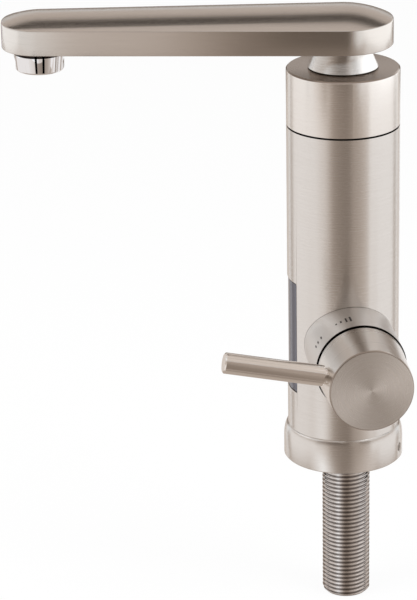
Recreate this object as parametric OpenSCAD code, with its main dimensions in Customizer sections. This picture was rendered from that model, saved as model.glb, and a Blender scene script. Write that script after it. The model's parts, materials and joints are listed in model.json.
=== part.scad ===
// Electric instant water heater tap: a round heated body with a swivelling spout on top,
// a side lever on a horizontal valve, a display window and a threaded shank below.
// Millimetres. The worktop is the plane z = 0 and the body axis is Z.
// The display faces -Y and the valve points along +X.

/* [Foot] */
// Step of the foot ring beyond the body
foot_lip = 2.2; // [1:0.1:4]
// Height at which the straight side of the foot ends
foot_side_top = 9.9; // [9.6:0.1:15]
// Height of the foot, where the body shell begins
foot_h = 18.3; // [16.5:0.1:21]
// Height of the foot ring's lower edge above the worktop
foot_rise = 0.2; // [0.1:0.05:0.4]
// Size of the small edge at the bottom of the foot
foot_edge = 0.6; // [0.2:0.1:1.2]
// Height of the spigot that enters the body shell
foot_spigot_h = 6; // [3:0.5:9]
// Wall of that spigot
foot_spigot_wall = 2; // [1.2:0.1:3]
// Wall of the foot ring round the shank flange
foot_wall = 6.8; // [6.2:0.1:7.2]
// Width of the ledge that rests on the shank flange
ledge_w = 4.5; // [3:0.1:4.8]
// Thickness of that ledge
ledge_t = 3; // [2:0.5:4]
// Thickness of the rubber gasket under the foot
gasket_t = 1; // [0.6:0.1:2]
// Width of the foot ring outside the gasket
gasket_inset = 1.6; // [1.2:0.1:2.2]
// Radius of the set screw in the foot
foot_screw_r = 2.3; // [1.5:0.1:2.6]
// Length of the set screw
foot_screw_l = 4.8; // [3:0.1:5.5]
// Height of the set screw above the worktop
foot_screw_z = 7; // [4.2:0.1:7]
// Place of the set screw round the foot, turned from +X towards +Y
foot_screw_angle = 61; // [30:1:150]

/* [Shank] */
// Radius over the thread crests
shank_r = 12.7; // [12:0.1:13]
// Length of the shank below the worktop
shank_below = 81.2; // [50:0.1:100]
// Distance of the shank axis behind the body axis
shank_offset = 1.5; // [0:0.1:2]
// Radius of the water way in the shank
shank_bore_r = 8; // [6:0.1:9]
// Thread pitch
thread_pitch = 2.29; // [1.5:0.01:3]
// Depth of the thread
thread_depth = 1.15; // [0.6:0.05:1.4]
// Length between the flange and the first thread crest
thread_relief = 1.6; // [1:0.1:4]
// Chamfer at the lower end
shank_chamfer = 1.5; // [0.5:0.1:2.5]
// Thickness of the flange
flange_t = 8.4; // [8.4:0.1:9.2]

/* [Cable entry] */
// Wall of the flange outside the cable gland
gland_wall = 1.5; // [1.2:0.1:1.7]
// Radius of the gland where it passes the flange
gland_r = 5.5; // [5:0.1:5.7]
// Radius of the gland head below the flange
gland_head_r = 6.3; // [6:0.1:6.4]
// Radius of the cable hole
cable_r = 4; // [3:0.1:4.4]
// Radius of one mains wire
wire_r = 1.3; // [0.8:0.1:1.4]
// Spacing of the three mains wires
wire_step = 3.2; // [3:0.1:3.4]

/* [Body] */
// Radius of the body and of the cap
body_r = 29.4; // [29.2:0.1:36]
// Wall of the body shell
body_wall = 1.5; // [1:0.1:1.7]
// Height of the dark groove between body and cap
groove_h = 1; // [0.5:0.1:2]
// Depth of the groove
groove_depth = 0.8; // [0.4:0.1:1]

/* [Display] */
// Width of the display window
window_w = 24.2; // [22:0.1:26]
// Height of the display window
window_h = 61.3; // [50:0.1:72]
// Height of the window centre above the valve axis
window_rise = 1; // [-2:0.1:4]
// Corner radius of the window
window_corner = 1; // [0.5:0.1:5]
// Depth of the lens below the body surface
lens_recess = 0.5; // [0.2:0.1:0.8]
// Thickness of the bezel behind the lens
bezel_t = 1.5; // [1:0.1:1.7]
// Width by which the bezel laps the window edge
bezel_lap = 2.8; // [2:0.1:3]

/* [Valve] */
// Height of the valve axis above the worktop
valve_z = 69.7; // [66:0.1:80]
// Radius of the valve housing
housing_r = 18.6; // [17.6:0.1:19]
// Distance of the back of the housing from the body axis
housing_back = 6; // [5:0.1:7]
// Step of the housing front behind the collar end
housing_inset = 8.2; // [5:0.1:9]
// Radius of the outer collar that carries the scale
collar_r = 23.6; // [23.2:0.1:23.8]
// Length by which the collar stands out of the body
collar_out = 26.8; // [25:0.1:31]
// Step of the dark ring in the collar's mouth inside the lever hub's edge
ring_inset = 0.5; // [0.3:0.1:0.8]
// Depth of the seat of that ring
ring_seat = 2; // [1:0.1:4]
// Radius of the ceramic cartridge
cartridge_r = 14.8; // [13.5:0.1:15]
// Radius of the valve stem
stem_r = 4.5; // [3.5:0.1:5]

/* [Lever] */
// Radius of the lever hub at its back
hub_r = 23; // [22:0.1:23.2]
// Radius of the lever hub at its face
hub_face_r = 21.7; // [20:0.1:21.8]
// Gap between the collar and the lever hub
hub_gap = 1.2; // [0.8:0.1:1.6]
// Length of the lever hub
hub_l = 29.5; // [26:0.1:34]
// Radius of the rounded rim of the face
hub_rim = 1; // [0.4:0.1:2]
// Distance of the lever rod from the back of the hub
rod_in = 16.6; // [14:0.1:18]
// Radius of the lever rod
rod_r = 5.4; // [4:0.1:6]
// Distance of the rod tip from the valve axis
rod_reach = 74.9; // [50:0.1:100]
// Rise of the rod towards its tip, in degrees
rod_rise = 11.7; // [0:0.1:20]
// Shadow gap between the rod and the widest part of the hub
rod_gap = 0.5; // [0.3:0.1:3]
// Radius of the rod neck in that gap
rod_neck_r = 4.2; // [3:0.1:4.8]
// Chamfer at the rod tip
rod_chamfer = 0.7; // [0.3:0.1:1.5]

/* [Cap] */
// Height of the cap
cap_h = 29.6; // [27:0.1:40]
// Wall of the cap
cap_wall = 1.5; // [1:0.1:2]
// Thickness of the cap's top
cap_top_t = 2; // [1.8:0.1:3]
// Chamfer round the top edge of the cap
cap_edge = 0.7; // [0.3:0.1:1]
// Outer radius of the swivel socket
socket_r = 15.5; // [15.2:0.1:17]
// Bore of the swivel socket
socket_bore_r = 12; // [11:0.05:12.2]
// Thickness of the plate below the socket
socket_plate_t = 4; // [3:0.5:6]

/* [Spout] */
// Turn of the spout at rest from straight ahead, in degrees
spout_angle = -8.6; // [-60:0.1:60]
// Radius of the neck at the cap
neck_low_r = 18.2; // [17.6:0.1:20]
// Radius of the neck at the spout
neck_high_r = 14.9; // [14:0.1:17]
// Height of the neck between the cap and the spout
neck_h = 12.4; // [9:0.1:24]
// Height of the vertical side of the spout
spout_side = 13.1; // [12:0.1:20]
// Half width of the spout at the body end
spout_end_r = 25.8; // [25:0.1:30]
// Half width of the spout at the tip
tip_half_w = 21; // [20:0.1:25]
// Corner radius of the tip, seen from above
tip_corner_r = 19.5; // [14:0.1:20]
// Distance of the tip from the swivel axis
spout_len = 174.5; // [150:0.1:220]
// Radius of the dome across the spout
dome_r = 56; // [45:0.5:90]
// Wall of the spout
spout_wall = 1.5; // [1:0.1:2]

/* [Aerator] */
// Distance of the outlet from the tip of the spout
outlet_inset = 19.1; // [18.5:0.1:40]
// Radius of the aerator collar at its top
aerator_r = 13.4; // [13.3:0.1:14]
// Radius of the aerator collar at its lower edge
aerator_low_r = 12.6; // [12.3:0.1:13]
// Height of the aerator collar
aerator_h = 11.7; // [11:0.1:14]
// Shadow gap between the collar and the spout
aerator_gap = 0.8; // [0.4:0.1:1.5]
// Distance between the two spanner flats
aerator_flats = 24.4; // [24:0.1:25.2]

/* [Water way] */
// Outer radius of the plain pipes
pipe_r = 5; // [4:0.1:5.2]
// Wall of the plain pipes
pipe_wall = 1.2; // [0.8:0.1:1.5]
// Distance of the feed pipe beside the body axis
feed_x = 10; // [9.8:0.1:10.4]
// Height of the flow switch body
flow_h = 17; // [16:0.5:17]
// Length of the flow switch body
flow_l = 24; // [22:0.5:25]
// Radius of the piston chamber in the flow switch
chamber_r = 5; // [4.6:0.1:5.4]
// Length of the flow piston
piston_l = 5; // [3:0.1:5.2]
// Turns of the spring above the piston
spring_turns = 4; // [3:0.5:5]
// Radius of the spring wire
spring_wire_r = 0.35; // [0.2:0.05:0.4]

/* [Heater] */
// Width of the flange round the heating tank
tank_flange_w = 4.5; // [4:0.1:6]
// Wall of the tank
tank_wall = 1.4; // [1:0.1:1.6]
// Height of the tank
tank_h = 57; // [40:0.5:80]
// Thickness of the tank lid
lid_t = 4; // [3:0.1:4.5]
// Clear height between the lid and the plate of the swivel socket
lid_room = 11.05; // [8.6:0.05:20]
// Radius of the heating element tube
element_r = 3; // [2:0.1:3.3]
// Half spacing of the legs of each hairpin
element_half = 7.5; // [7:0.1:8.5]
// Distance of each hairpin from the tank axis
element_y = 8; // [7.4:0.1:8.6]

/* [Clearances] */
// Radial clearance of pieces that turn in each other
running_gap = 0.05; // [0.02:0.01:0.1]
// Radial clearance of pieces that are fixed in each other
seat_gap = 0.1; // [0.05:0.01:0.2]
// Gap between a moving face and its neighbour
moving_gap = 0.3; // [0.25:0.05:0.35]

/* [Hidden] */
$fn = 64;

// Overrun of every cut past the face that it opens
cut = 1;
// Thickness of a section used only to shape a hull
sliver = 0.01;
// Facets of the rounded hull sections
hull_fn = 32;

// Foot, flange and gland
foot_r = body_r + foot_lip;
flange_r = foot_r - foot_wall;
ledge_r = flange_r - ledge_w;
gasket_r = foot_r - gasket_inset;
gland_offset = flange_r - gland_r - gland_wall;
gland_head_h = 0.7;
flange_top = gasket_t + flange_t;
ledge_top = flange_top + ledge_t;
spigot_top = foot_h + foot_spigot_h;
foot_bore_r = flange_r + seat_gap;
shell_bore_r = body_r - body_wall;
insert_r = shell_bore_r - seat_gap;

// Thread crest and root widths as shares of the pitch
thread_crest_share = 0.18;
thread_root_share = 0.22;

// Chassis plates and spine
deck_t = 2;
spine_t = 2;
spine_half_w = 15;
spine_lap = 0.4;
spine_in_r = insert_r - spine_t;
low_deck_top = spigot_top + deck_t;
window_z = valve_z + window_rise;
bezel_clear = 0.4;
tank_deck_z = window_z + window_h / 2 + bezel_lap + bezel_clear;
tank_z = tank_deck_z + deck_t;
tank_top = tank_z + tank_h;
tank_gasket_t = 1;
lid_clear = 0.9;
lid_r = spine_in_r - lid_clear;
tank_r = lid_r - tank_flange_w;
lid_z = tank_top + tank_gasket_t;
lid_top = lid_z + lid_t;
socket_z = lid_top + lid_room;
body_top = socket_z + socket_plate_t;

// Inlet pipe plug and its sealing ring
plug_l = 14;
plug_z = flange_top - plug_l;
plug_step = 0.5;
socket_in_r = shank_bore_r - plug_step;
plug_bore_r = pipe_r - pipe_wall;
o_ring_r = 0.9;
o_ring_z = flange_top - plug_l / 2;

// Flow switch, laid along X between the inlet and the feed to the valve
flow_w = 17;
flow_gap = 2.5;
flow_z = low_deck_top + flow_gap;
flow_top = flow_z + flow_h;
flow_x0 = -flow_l / 2 + feed_x / 2;
chamber_wall = 2.5;
chamber_z = flow_z + chamber_wall;
chamber_top = flow_top - chamber_wall;
piston_z = chamber_z + 2 * moving_gap;
piston_top = piston_z + piston_l;
spring_r = 3;
spring_sides = 8;
spring_steps = 16;

// Valve and lever along the valve axis, as distances from the body axis
collar_end = body_r + collar_out;
housing_front = collar_end - housing_inset;
hub_start = collar_end + hub_gap;
hub_end = hub_start + hub_l;
rod_x = hub_start + rod_in;
ring_r = hub_r - ring_inset;

// Valve housing ports and cartridge stack, as distances from the body axis
port_r = 3;
port_spread = 6;
stub_r = 4.9;
stub_h = 3;
housing_floor = 8;
cartridge_x = housing_back + housing_floor;
seal_t = 2;
seal_r = 4.4;
seat_x = cartridge_x + seal_t;
disc_t = 4;
disc_x = seat_x + disc_t + moving_gap;
cup_wall = 2.2;
cup_r = cartridge_r - cup_wall;
drive_x = disc_x + disc_t;
drive_t = 3;
cup_front_t = 4;
cup_front = drive_x + drive_t + cup_front_t + moving_gap;
nut_room = 3;
nut_hole_r = stem_r + nut_room;
nut_key_step = 3;

// Hub cavity, boss and screws
hub_wall = 3.2;
hub_cavity_r = hub_r - hub_wall;
hub_cavity_l = 5;
stem_end = rod_x + stem_r;
grub_r = 1.7;
grub_l = 7;
plug_r = 2.4;
plug_t = 2.2;
rod_stud_r = 3;
rod_stud_in = 9;
rod_sink = 1.2;
rod_start = hub_r - rod_sink;

// Display parts behind the window
lens_gap = 0.15;
lens_r = body_r - lens_recess;
lens_back_r = shell_bore_r - seat_gap;
bezel_h = window_h + 2 * bezel_lap;
display_board_w = 22;
display_board_h = bezel_h - 2 * seat_gap;
display_board_t = 1.6;
display_depth = 4.2;
display_board_y = lens_back_r - display_depth;
post_x = 8.6;
post_r = 2;
post_z = window_h / 2 + seat_gap;
screw_r = 1.1;
screw_head_r = 2;
screw_head_t = 1.2;
led_w = 16.5;
led_h = 44;
led_t = 2;
digit_h = 11;
digit_w = 6;
digit_t = 0.3;

// Control board and what stands on it
board_room = 7;
board_x = insert_r - board_room;
board_t = 1.6;
board_w = 29;
relay_h = 17;
relay_w = 15;
relay_d = 11;
relay_rise = 6;
relay_z = valve_z + relay_rise;
cap_can_r = 4;
cap_can_l = 9;
chip_w = 9;
chip_t = 1.5;
block_w = 12;
block_d = 8;
block_h = 9;

// Tank details
flange_l = 3;
lid_screw_r = 1.3;
lid_screw_inset = 2.2;
lid_screw_ring = lid_r - lid_screw_inset;
lid_screw_head_r = 2.1;
lid_screw_head_t = 1.6;
element_clear = 7;
terminal_l = 6;
probe_r = 1.5;
probe_l = 30;
probe_head_r = 3;
probe_head_t = 3;
probe_inset = 6.1;
probe_y = tank_r - probe_inset;
cutout_r = 7;
cutout_t = 3.5;
cutout_pad = 1;

// Swivel stack above the body shell
chamber_h = 1.5;
cap_z = body_top + groove_h;
cap_top = cap_z + cap_h;
cap_under = cap_top - cap_top_t;
socket_rim_h = 6;
socket_rim_t = 2.3;
socket_step = 1.5;
socket_step_r = socket_r - socket_step;
socket_step_h = 7.5;
washer_t = 1;
shoulder_t = 1.7;
washer_z = cap_under - socket_step_h;
shoulder_z = washer_z + washer_t + moving_gap;
nut_z = shoulder_z + shoulder_t + moving_gap;
nut_flange_inset = 0.9;
nut_flange_r = neck_low_r - nut_flange_inset;
nut_flange_t = 1;
nut_sleeve_r = socket_step_r - seat_gap;
spigot_r = socket_bore_r - running_gap;
spigot_z = body_top + chamber_h;
spigot_bore_r = 8;
neck_z = cap_top + moving_gap;
tail_r = 10;
spout_nut_t = 3;
spout_nut_r = 15.5;
tail_rise = 1.2;
spout_z = neck_z + neck_h;
tail_top = spout_z + spout_wall + spout_nut_t + tail_rise;
groove_w = 1.9;
ring_levels_shares = [0.3, 0.6];

// Spout inside
outlet_x = spout_len - outlet_inset;
elbow_r = 12.5;
elbow_z = spout_z + spout_wall + spout_nut_t;
elbow_h = 8.7;
elbow_top = elbow_z + elbow_h;
spout_tube_z = elbow_z + elbow_h / 2 + seat_gap;
spout_tube_r = 3.4;
spout_tube_wall = 0.9;
tube_in = 2;
rim_z = spout_z + spout_side;
tip_corner_x = spout_len - tip_corner_r;
tip_corner_y = tip_half_w - tip_corner_r;
cover_t = 1.2;
dome_level_shares = [1, 0.9, 0.78, 0.64, 0.48, 0.32, 0.16, 0.03];
end_arc_steps = 28;
corner_arc_steps = 9;

// Aerator stack, from the lower edge up
aerator_top = spout_z - aerator_gap;
aerator_z = aerator_top - aerator_h;
aerator_edge = 0.9;
aerator_lip = 2.4;
aerator_rim_w = 2.3;
aerator_wall = 0.9;
aerator_mouth_r = aerator_low_r - aerator_rim_w;
aerator_bore_r = aerator_low_r - aerator_wall;
insert_h = 3.4;
insert_top = aerator_z + aerator_lip + insert_h;
insert_recess = 0.6;
seal_ring_t = 1.2;
adapter_low = insert_top + seal_ring_t;
adapter_flange_r = 15;
adapter_bore_r = 9;
adapter_top = rim_z;
adapter_wall = 2;
flat_r = 5;
flat_rise = 7.6;
mesh_hole_r = 0.75;
mesh_step = 2.3;
mesh_rings = 3;

// A tube that stands on z = 0
module tube(outer, inner, h) {
    difference() {
        cylinder(r = outer, h = h);
        translate([0, 0, -cut]) cylinder(r = inner, h = h + 2 * cut);
    }
}

// Moves its children to the valve axis, so that their own Z runs outward along +X
module on_valve_axis(x) {
    translate([x, 0, valve_z]) rotate([0, 90, 0]) children();
}

// Turns its children from the spout's own frame, whose +X runs to the tip, into place
module on_spout() {
    rotate([0, 0, spout_angle - 90]) children();
}

// A rounded rectangle round the origin
module rounded_rect(w, h, r) {
    union() {
        square([w - 2 * r, h], center = true);
        square([w, h - 2 * r], center = true);
        for (x = [-1, 1], y = [-1, 1])
            translate([x * (w / 2 - r), y * (h / 2 - r)]) circle(r = r);
    }
}

// A block that faces -Y, with the outline of the window grown on every side
module window_block(grow, corner = window_corner) {
    translate([0, 0, window_z]) rotate([90, 0, 0])
        linear_extrude(body_r + cut)
            rounded_rect(window_w + 2 * grow, window_h + 2 * grow, corner);
}

// Points of an arc
function arc(x, y, r, from, to, steps) =
    [for (i = [0:steps])
        [x + r * cos(from + (to - from) * i / steps),
         y + r * sin(from + (to - from) * i / steps)]];

// Angle at which a straight side of the spout touches both rounds, with the outline drawn in
function side_angle(inset) =
    atan2(tip_corner_y, tip_corner_x)
    + acos((spout_end_r - tip_corner_r) / norm([tip_corner_x, tip_corner_y]));

// Outline of the spout seen from above, drawn in by inset
function spout_outline(inset) =
    let (a = side_angle(inset))
    concat(
        arc(tip_corner_x, -tip_corner_y, tip_corner_r - inset, -a, 0, corner_arc_steps),
        arc(tip_corner_x, tip_corner_y, tip_corner_r - inset, 0, a, corner_arc_steps),
        arc(0, 0, spout_end_r - inset, a, 360 - a, end_arc_steps));

// Height of the dome above its rim where the half width is w, at a share of that half width
function dome_height(w, share) =
    sqrt(dome_r * dome_r - w * w * share * share) - sqrt(dome_r * dome_r - w * w);

// A thin disc, one section of the dome
module dome_disc(x, y, z, r) {
    translate([x, y, z]) cylinder(r = r, h = sliver, $fn = hull_fn);
}

// The domed top of the spout, drawn in and lowered by inset
module dome(inset) {
    hull() for (share = dome_level_shares) {
        dome_disc(0, 0, rim_z - inset + dome_height(spout_end_r, share),
                  (spout_end_r - inset) * share);
        for (side = [-1, 1])
            dome_disc(spout_len - inset - (tip_half_w - inset) * (1 - share)
                      - (tip_corner_r - inset) * share,
                      side * tip_corner_y * share,
                      rim_z - inset + dome_height(tip_half_w, share),
                      (tip_corner_r - inset) * share);
    }
}

// A screw along Z: its head lies below z = 0 and its shaft runs up
module screw_up(r, l, head_r, head_t) {
    cylinder(r = r, h = l);
    translate([0, 0, -head_t]) difference() {
        cylinder(r = head_r, h = head_t);
        translate([0, 0, -cut]) cylinder(r = r, h = cut + head_t / 2, $fn = 6);
    }
}

// Rubber gasket under the foot, with a keyhole for the shank and the gland
module base_gasket() {
    color("#2b2b2d") difference() {
        cylinder(r = gasket_r, h = gasket_t);
        translate([0, shank_offset, -cut])
            cylinder(r = shank_r + 2 * seat_gap, h = gasket_t + 2 * cut);
        translate([0, -gland_offset, -cut])
            cylinder(r = gland_head_r + seat_gap, h = gasket_t + 2 * cut);
        translate([-gland_r, -gland_offset, -cut])
            cube([2 * gland_r, gland_offset, gasket_t + 2 * cut]);
    }
}

// Half section of the threaded part of the shank: crests, roots and flanks
thread_top = gasket_t - thread_relief;
thread_low = -shank_below + shank_chamfer;
thread_turns = floor((thread_top - thread_low) / thread_pitch);
thread_root_r = shank_r - thread_depth;
thread_half_crest = thread_pitch * thread_crest_share / 2;
thread_half_root = thread_pitch * thread_root_share / 2;
function thread_profile() =
    concat(
        [[shank_bore_r, -shank_below], [thread_root_r, -shank_below]],
        [for (i = [0:thread_turns - 1])
            let (z = thread_low + i * thread_pitch)
            for (p = [[thread_root_r, z + thread_half_root],
                      [shank_r, z + thread_pitch / 2 - thread_half_crest],
                      [shank_r, z + thread_pitch / 2 + thread_half_crest],
                      [thread_root_r, z + thread_pitch - thread_half_root]]) p],
        [[thread_root_r, gasket_t], [socket_in_r, gasket_t],
         [socket_in_r, plug_z], [shank_bore_r, plug_z]]);

// Threaded shank with the flange that the tap stands on
module shank() {
    color("#b9b4ae") {
        translate([0, shank_offset, 0]) rotate_extrude() polygon(thread_profile());
        difference() {
            translate([0, 0, gasket_t]) cylinder(r = flange_r, h = flange_t);
            translate([0, shank_offset, 0]) cylinder(r = socket_in_r, h = flange_top + cut);
            translate([0, -gland_offset, 0]) cylinder(r = gland_r + seat_gap, h = flange_top + cut);
        }
    }
}

// Half section of the foot ring
shoulder_steps = 6;
function foot_profile() =
    concat(
        [[foot_bore_r, gasket_t], [gasket_r + seat_gap, gasket_t],
         [gasket_r + seat_gap, foot_rise], [foot_r - foot_edge, foot_rise],
         [foot_r, foot_rise + foot_edge]],
        [for (i = [0:shoulder_steps])
            let (t = i / shoulder_steps)
            [foot_r - (foot_r - body_r) * (1 - cos(90 * t)),
             foot_side_top + (foot_h - foot_side_top) * sin(90 * t)]],
        [[insert_r, foot_h], [insert_r, spigot_top],
         [insert_r - foot_spigot_wall, spigot_top], [insert_r - foot_spigot_wall, ledge_top],
         [ledge_r, ledge_top], [ledge_r, flange_top], [foot_bore_r, flange_top]]);

// Foot ring that covers the flange and carries the body shell
module foot_ring() {
    color("#c9c3bc") difference() {
        rotate_extrude() polygon(foot_profile());
        rotate([0, 0, foot_screw_angle]) translate([0, 0, foot_screw_z]) rotate([0, 90, 0])
            cylinder(r = foot_screw_r + running_gap, h = foot_r + cut);
    }
}

// Set screw that locks the foot ring to the flange
module foot_set_screw() {
    color("#3c3c3e")
        rotate([0, 0, foot_screw_angle]) translate([flange_r, 0, foot_screw_z])
            rotate([0, 90, 0]) difference() {
                cylinder(r = foot_screw_r, h = foot_screw_l);
                translate([0, 0, foot_screw_l / 2])
                    cylinder(r = foot_screw_r / 2, h = foot_screw_l, $fn = 6);
            }
}

// Rubber gland through which the mains cable enters
module cable_gland() {
    color("#242426") translate([0, -gland_offset, 0]) difference() {
        union() {
            translate([0, 0, gasket_t - gland_head_h])
                cylinder(r = gland_r, h = gland_head_h + flange_t);
            translate([0, 0, gasket_t - gland_head_h])
                cylinder(r = gland_head_r, h = gland_head_h);
        }
        translate([0, 0, gasket_t - gland_head_h - cut])
            cylinder(r = cable_r, h = gland_head_h + flange_t + 2 * cut);
    }
}

// Three mains wires from the gland to the terminal block
module mains_wires() {
    color("#7a5a3a") for (i = [-1:1])
        translate([i * wire_step, -gland_offset, flange_top])
            cylinder(r = wire_r, h = low_deck_top - flange_top);
}

// Terminal block on the lower deck
module terminal_block() {
    color("#d8d4c8") translate([-block_w / 2, -gland_offset - block_d / 2, low_deck_top])
        difference() {
            cube([block_w, block_d, block_h]);
            for (i = [-1:1])
                translate([block_w / 2 + i * wire_step, block_d / 2, block_h / 2])
                    cylinder(r = wire_r, h = block_h);
        }
}

// Inlet pipe, plugged into the top of the shank
module inlet_pipe() {
    color("#c8a86a") translate([0, shank_offset, 0]) difference() {
        union() {
            translate([0, 0, plug_z]) cylinder(r = socket_in_r - seat_gap, h = plug_l);
            translate([0, 0, flange_top]) cylinder(r = pipe_r, h = flow_z - flange_top);
        }
        translate([0, 0, plug_z - cut])
            cylinder(r = plug_bore_r, h = flow_z - plug_z + 2 * cut);
        translate([0, 0, o_ring_z - o_ring_r])
            tube(socket_in_r + cut, socket_in_r - 2 * o_ring_r, 2 * o_ring_r);
    }
}

// Sealing ring of the inlet pipe
module inlet_o_ring() {
    color("#1f1f21") translate([0, shank_offset, o_ring_z]) rotate_extrude()
        translate([socket_in_r - o_ring_r, 0]) circle(r = o_ring_r, $fn = 24);
}

// Flow switch body: an upright piston chamber and the stub that feeds the valve
module flow_switch() {
    color("#e4e0d6") difference() {
        union() {
            translate([flow_x0, -flow_w / 2, flow_z]) cube([flow_l, flow_w, flow_h]);
            translate([feed_x, 0, flow_top]) cylinder(r = stub_r, h = stub_h);
        }
        translate([0, shank_offset, chamber_z]) cylinder(r = chamber_r, h = chamber_top - chamber_z);
        translate([0, shank_offset, flow_z - cut]) cylinder(r = port_r, h = cut + chamber_wall + cut);
        translate([0, 0, chamber_top - port_r]) rotate([0, 90, 0]) cylinder(r = port_r, h = feed_x);
        translate([feed_x, 0, chamber_top - port_r])
            cylinder(r = port_r, h = chamber_wall + port_r + stub_h + cut);
    }
}

// Magnetic piston that the water lifts in its chamber
module flow_piston() {
    color("#55565a") translate([0, shank_offset, piston_z]) difference() {
        cylinder(r = chamber_r - moving_gap, h = piston_l);
        translate([0, 0, -cut]) cylinder(r = chamber_r / 2, h = cut + piston_l / 2);
    }
}

// Point of the spring wire's skin: t is the share of its length, a the angle round the wire
function spring_point(t, a) =
    let (turn = 360 * spring_turns * t,
         low = piston_top + seat_gap + spring_wire_r,
         high = chamber_top - seat_gap - spring_wire_r,
         r = spring_r + spring_wire_r * cos(a))
    [r * cos(turn), r * sin(turn), low + (high - low) * t + spring_wire_r * sin(a)];

// Spring between the piston and the top of the chamber
module piston_spring() {
    n = floor(spring_turns * spring_steps);
    m = spring_sides;
    points = [for (i = [0:n], j = [0:m - 1]) spring_point(i / n, 360 * j / m)];
    sides = [for (i = [0:n - 1], j = [0:m - 1])
        let (a = i * m + j, b = i * m + (j + 1) % m)
        for (f = [[a, a + m, b + m], [a, b + m, b]]) f];
    ends = [[for (j = [0:m - 1]) j], [for (j = [m - 1:-1:0]) n * m + j]];
    color("#b9bbbd") translate([0, shank_offset, 0]) polyhedron(points, concat(sides, ends));
}

// Brass housing of the valve, with a stub below for the inlet and one above for the feed pipe
module valve_housing() {
    color("#c09a52") difference() {
        union() {
            on_valve_axis(housing_back) cylinder(r = housing_r, h = housing_front - housing_back);
            translate([feed_x, 0, flow_top + stub_h])
                cylinder(r = stub_r, h = valve_z - flow_top - stub_h);
            translate([feed_x, 0, valve_z]) cylinder(r = stub_r, h = housing_r + stub_h);
        }
        on_valve_axis(cartridge_x)
            cylinder(r = cartridge_r + seat_gap, h = housing_front - cartridge_x + cut);
        for (side = [-1, 1])
            translate([feed_x, 0, valve_z + side * port_spread]) {
                rotate([0, 90, 0]) cylinder(r = port_r, h = cartridge_x - feed_x + cut);
                mirror([0, 0, side < 0 ? 1 : 0]) cylinder(r = port_r, h = valve_z);
            }
    }
}

// Two rubber seals behind the ceramic seat
module valve_seals() {
    color("#1f1f21") for (side = [-1, 1])
        translate([0, 0, side * port_spread]) on_valve_axis(cartridge_x)
            tube(seal_r, port_r, seal_t);
}

// Fixed ceramic disc of the cartridge
module ceramic_seat() {
    color("#f0efe9") difference() {
        on_valve_axis(seat_x) cylinder(r = cup_r - seat_gap, h = disc_t);
        for (side = [-1, 1])
            translate([0, 0, side * port_spread]) on_valve_axis(seat_x - cut)
                cylinder(r = port_r, h = disc_t + 2 * cut);
    }
}

// Turning ceramic disc of the cartridge
module ceramic_disc() {
    color("#f6f5f0") on_valve_axis(disc_x) difference() {
        cylinder(r = cup_r - moving_gap, h = disc_t);
        translate([0, 0, -cut]) intersection() {
            tube(port_spread + port_r, port_spread - port_r, cut + disc_t / 2);
            translate([0, -cup_r, 0]) cube([cup_r, 2 * cup_r, disc_t + cut]);
        }
    }
}

// Cartridge body: a cup that holds the discs and guides the stem
module cartridge_body() {
    color("#3f4f63") on_valve_axis(seat_x) difference() {
        cylinder(r = cartridge_r, h = cup_front - seat_x);
        translate([0, 0, -cut]) cylinder(r = cup_r, h = cup_front - cup_front_t - seat_x + cut);
        cylinder(r = stem_r + running_gap, h = cup_front - seat_x + cut);
    }
}

// Nut that holds the cartridge in its housing
module cartridge_nut() {
    color("#b08d4a") on_valve_axis(cup_front) difference() {
        cylinder(r = cartridge_r, h = housing_front - cup_front);
        translate([0, 0, -cut]) cylinder(r = nut_hole_r, h = housing_front - cup_front + 2 * cut);
        translate([0, 0, (housing_front - cup_front) / 2])
            cylinder(r = nut_hole_r + nut_key_step, h = housing_front - cup_front, $fn = 6);
    }
}

// Stem that turns with the lever and drives the moving disc
module valve_stem() {
    color("#8d8f92") {
        on_valve_axis(drive_x) cylinder(r = cup_r - cup_wall, h = drive_t);
        on_valve_axis(drive_x) cylinder(r = stem_r, h = stem_end - drive_x);
    }
}

// Collar that stands out from the body and carries the scale
module valve_collar() {
    color("#cfc9c2") difference() {
        on_valve_axis(0) cylinder(r = collar_r, h = collar_end);
        on_valve_axis(-cut)
            cylinder(r = housing_r + seat_gap, h = collar_end + 2 * cut);
        on_valve_axis(collar_end - ring_seat)
            cylinder(r = ring_r + seat_gap, h = ring_seat + cut);
        cylinder(r = body_r, h = body_top);
    }
}

// Dark ring in the mouth of the collar, which the hub turns in front of
module collar_ring() {
    color("#1b1b1c") on_valve_axis(collar_end - ring_seat)
        tube(ring_r, housing_r + seat_gap, ring_seat + hub_gap - moving_gap);
}

// Half section of the lever hub: x is the radius and y runs along the valve axis
rim_steps = 5;
function hub_profile() =
    let (l = hub_end - hub_start)
    concat(
        [[0, hub_cavity_l], [hub_cavity_r, hub_cavity_l], [hub_cavity_r, 0], [hub_r, 0]],
        [for (i = [0:rim_steps])
            [hub_face_r - hub_rim * (1 - cos(90 * i / rim_steps)),
             l - hub_rim * (1 - sin(90 * i / rim_steps))]],
        [[0, l]]);

// Lever hub, turned to the rod's direction only where the rod enters
module lever_hub() {
    color("#a59c93") difference() {
        on_valve_axis(hub_start) rotate_extrude() polygon(hub_profile());
        on_valve_axis(hub_start - cut)
            cylinder(r = stem_r + seat_gap, h = stem_end - hub_start + cut);
        at_rod() translate([0, 0, rod_stud_in])
            cylinder(r = rod_stud_r + seat_gap, h = hub_r);
        at_rod() translate([0, 0, rod_start])
            cylinder(r = rod_neck_r + seat_gap, h = hub_r);
        translate([rod_x, 0, valve_z]) mirror([0, 0, 1]) {
            cylinder(r = grub_r + seat_gap, h = hub_r);
            translate([0, 0, hub_face_r - plug_t - plug_t / 2])
                cylinder(r = plug_r + seat_gap, h = hub_r);
        }
    }
}

// Moves its children to the rod axis, so that their own Z runs from the valve axis to the tip
module at_rod() {
    translate([rod_x, 0, valve_z]) rotate([90 - rod_rise, 0, 0]) children();
}

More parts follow.
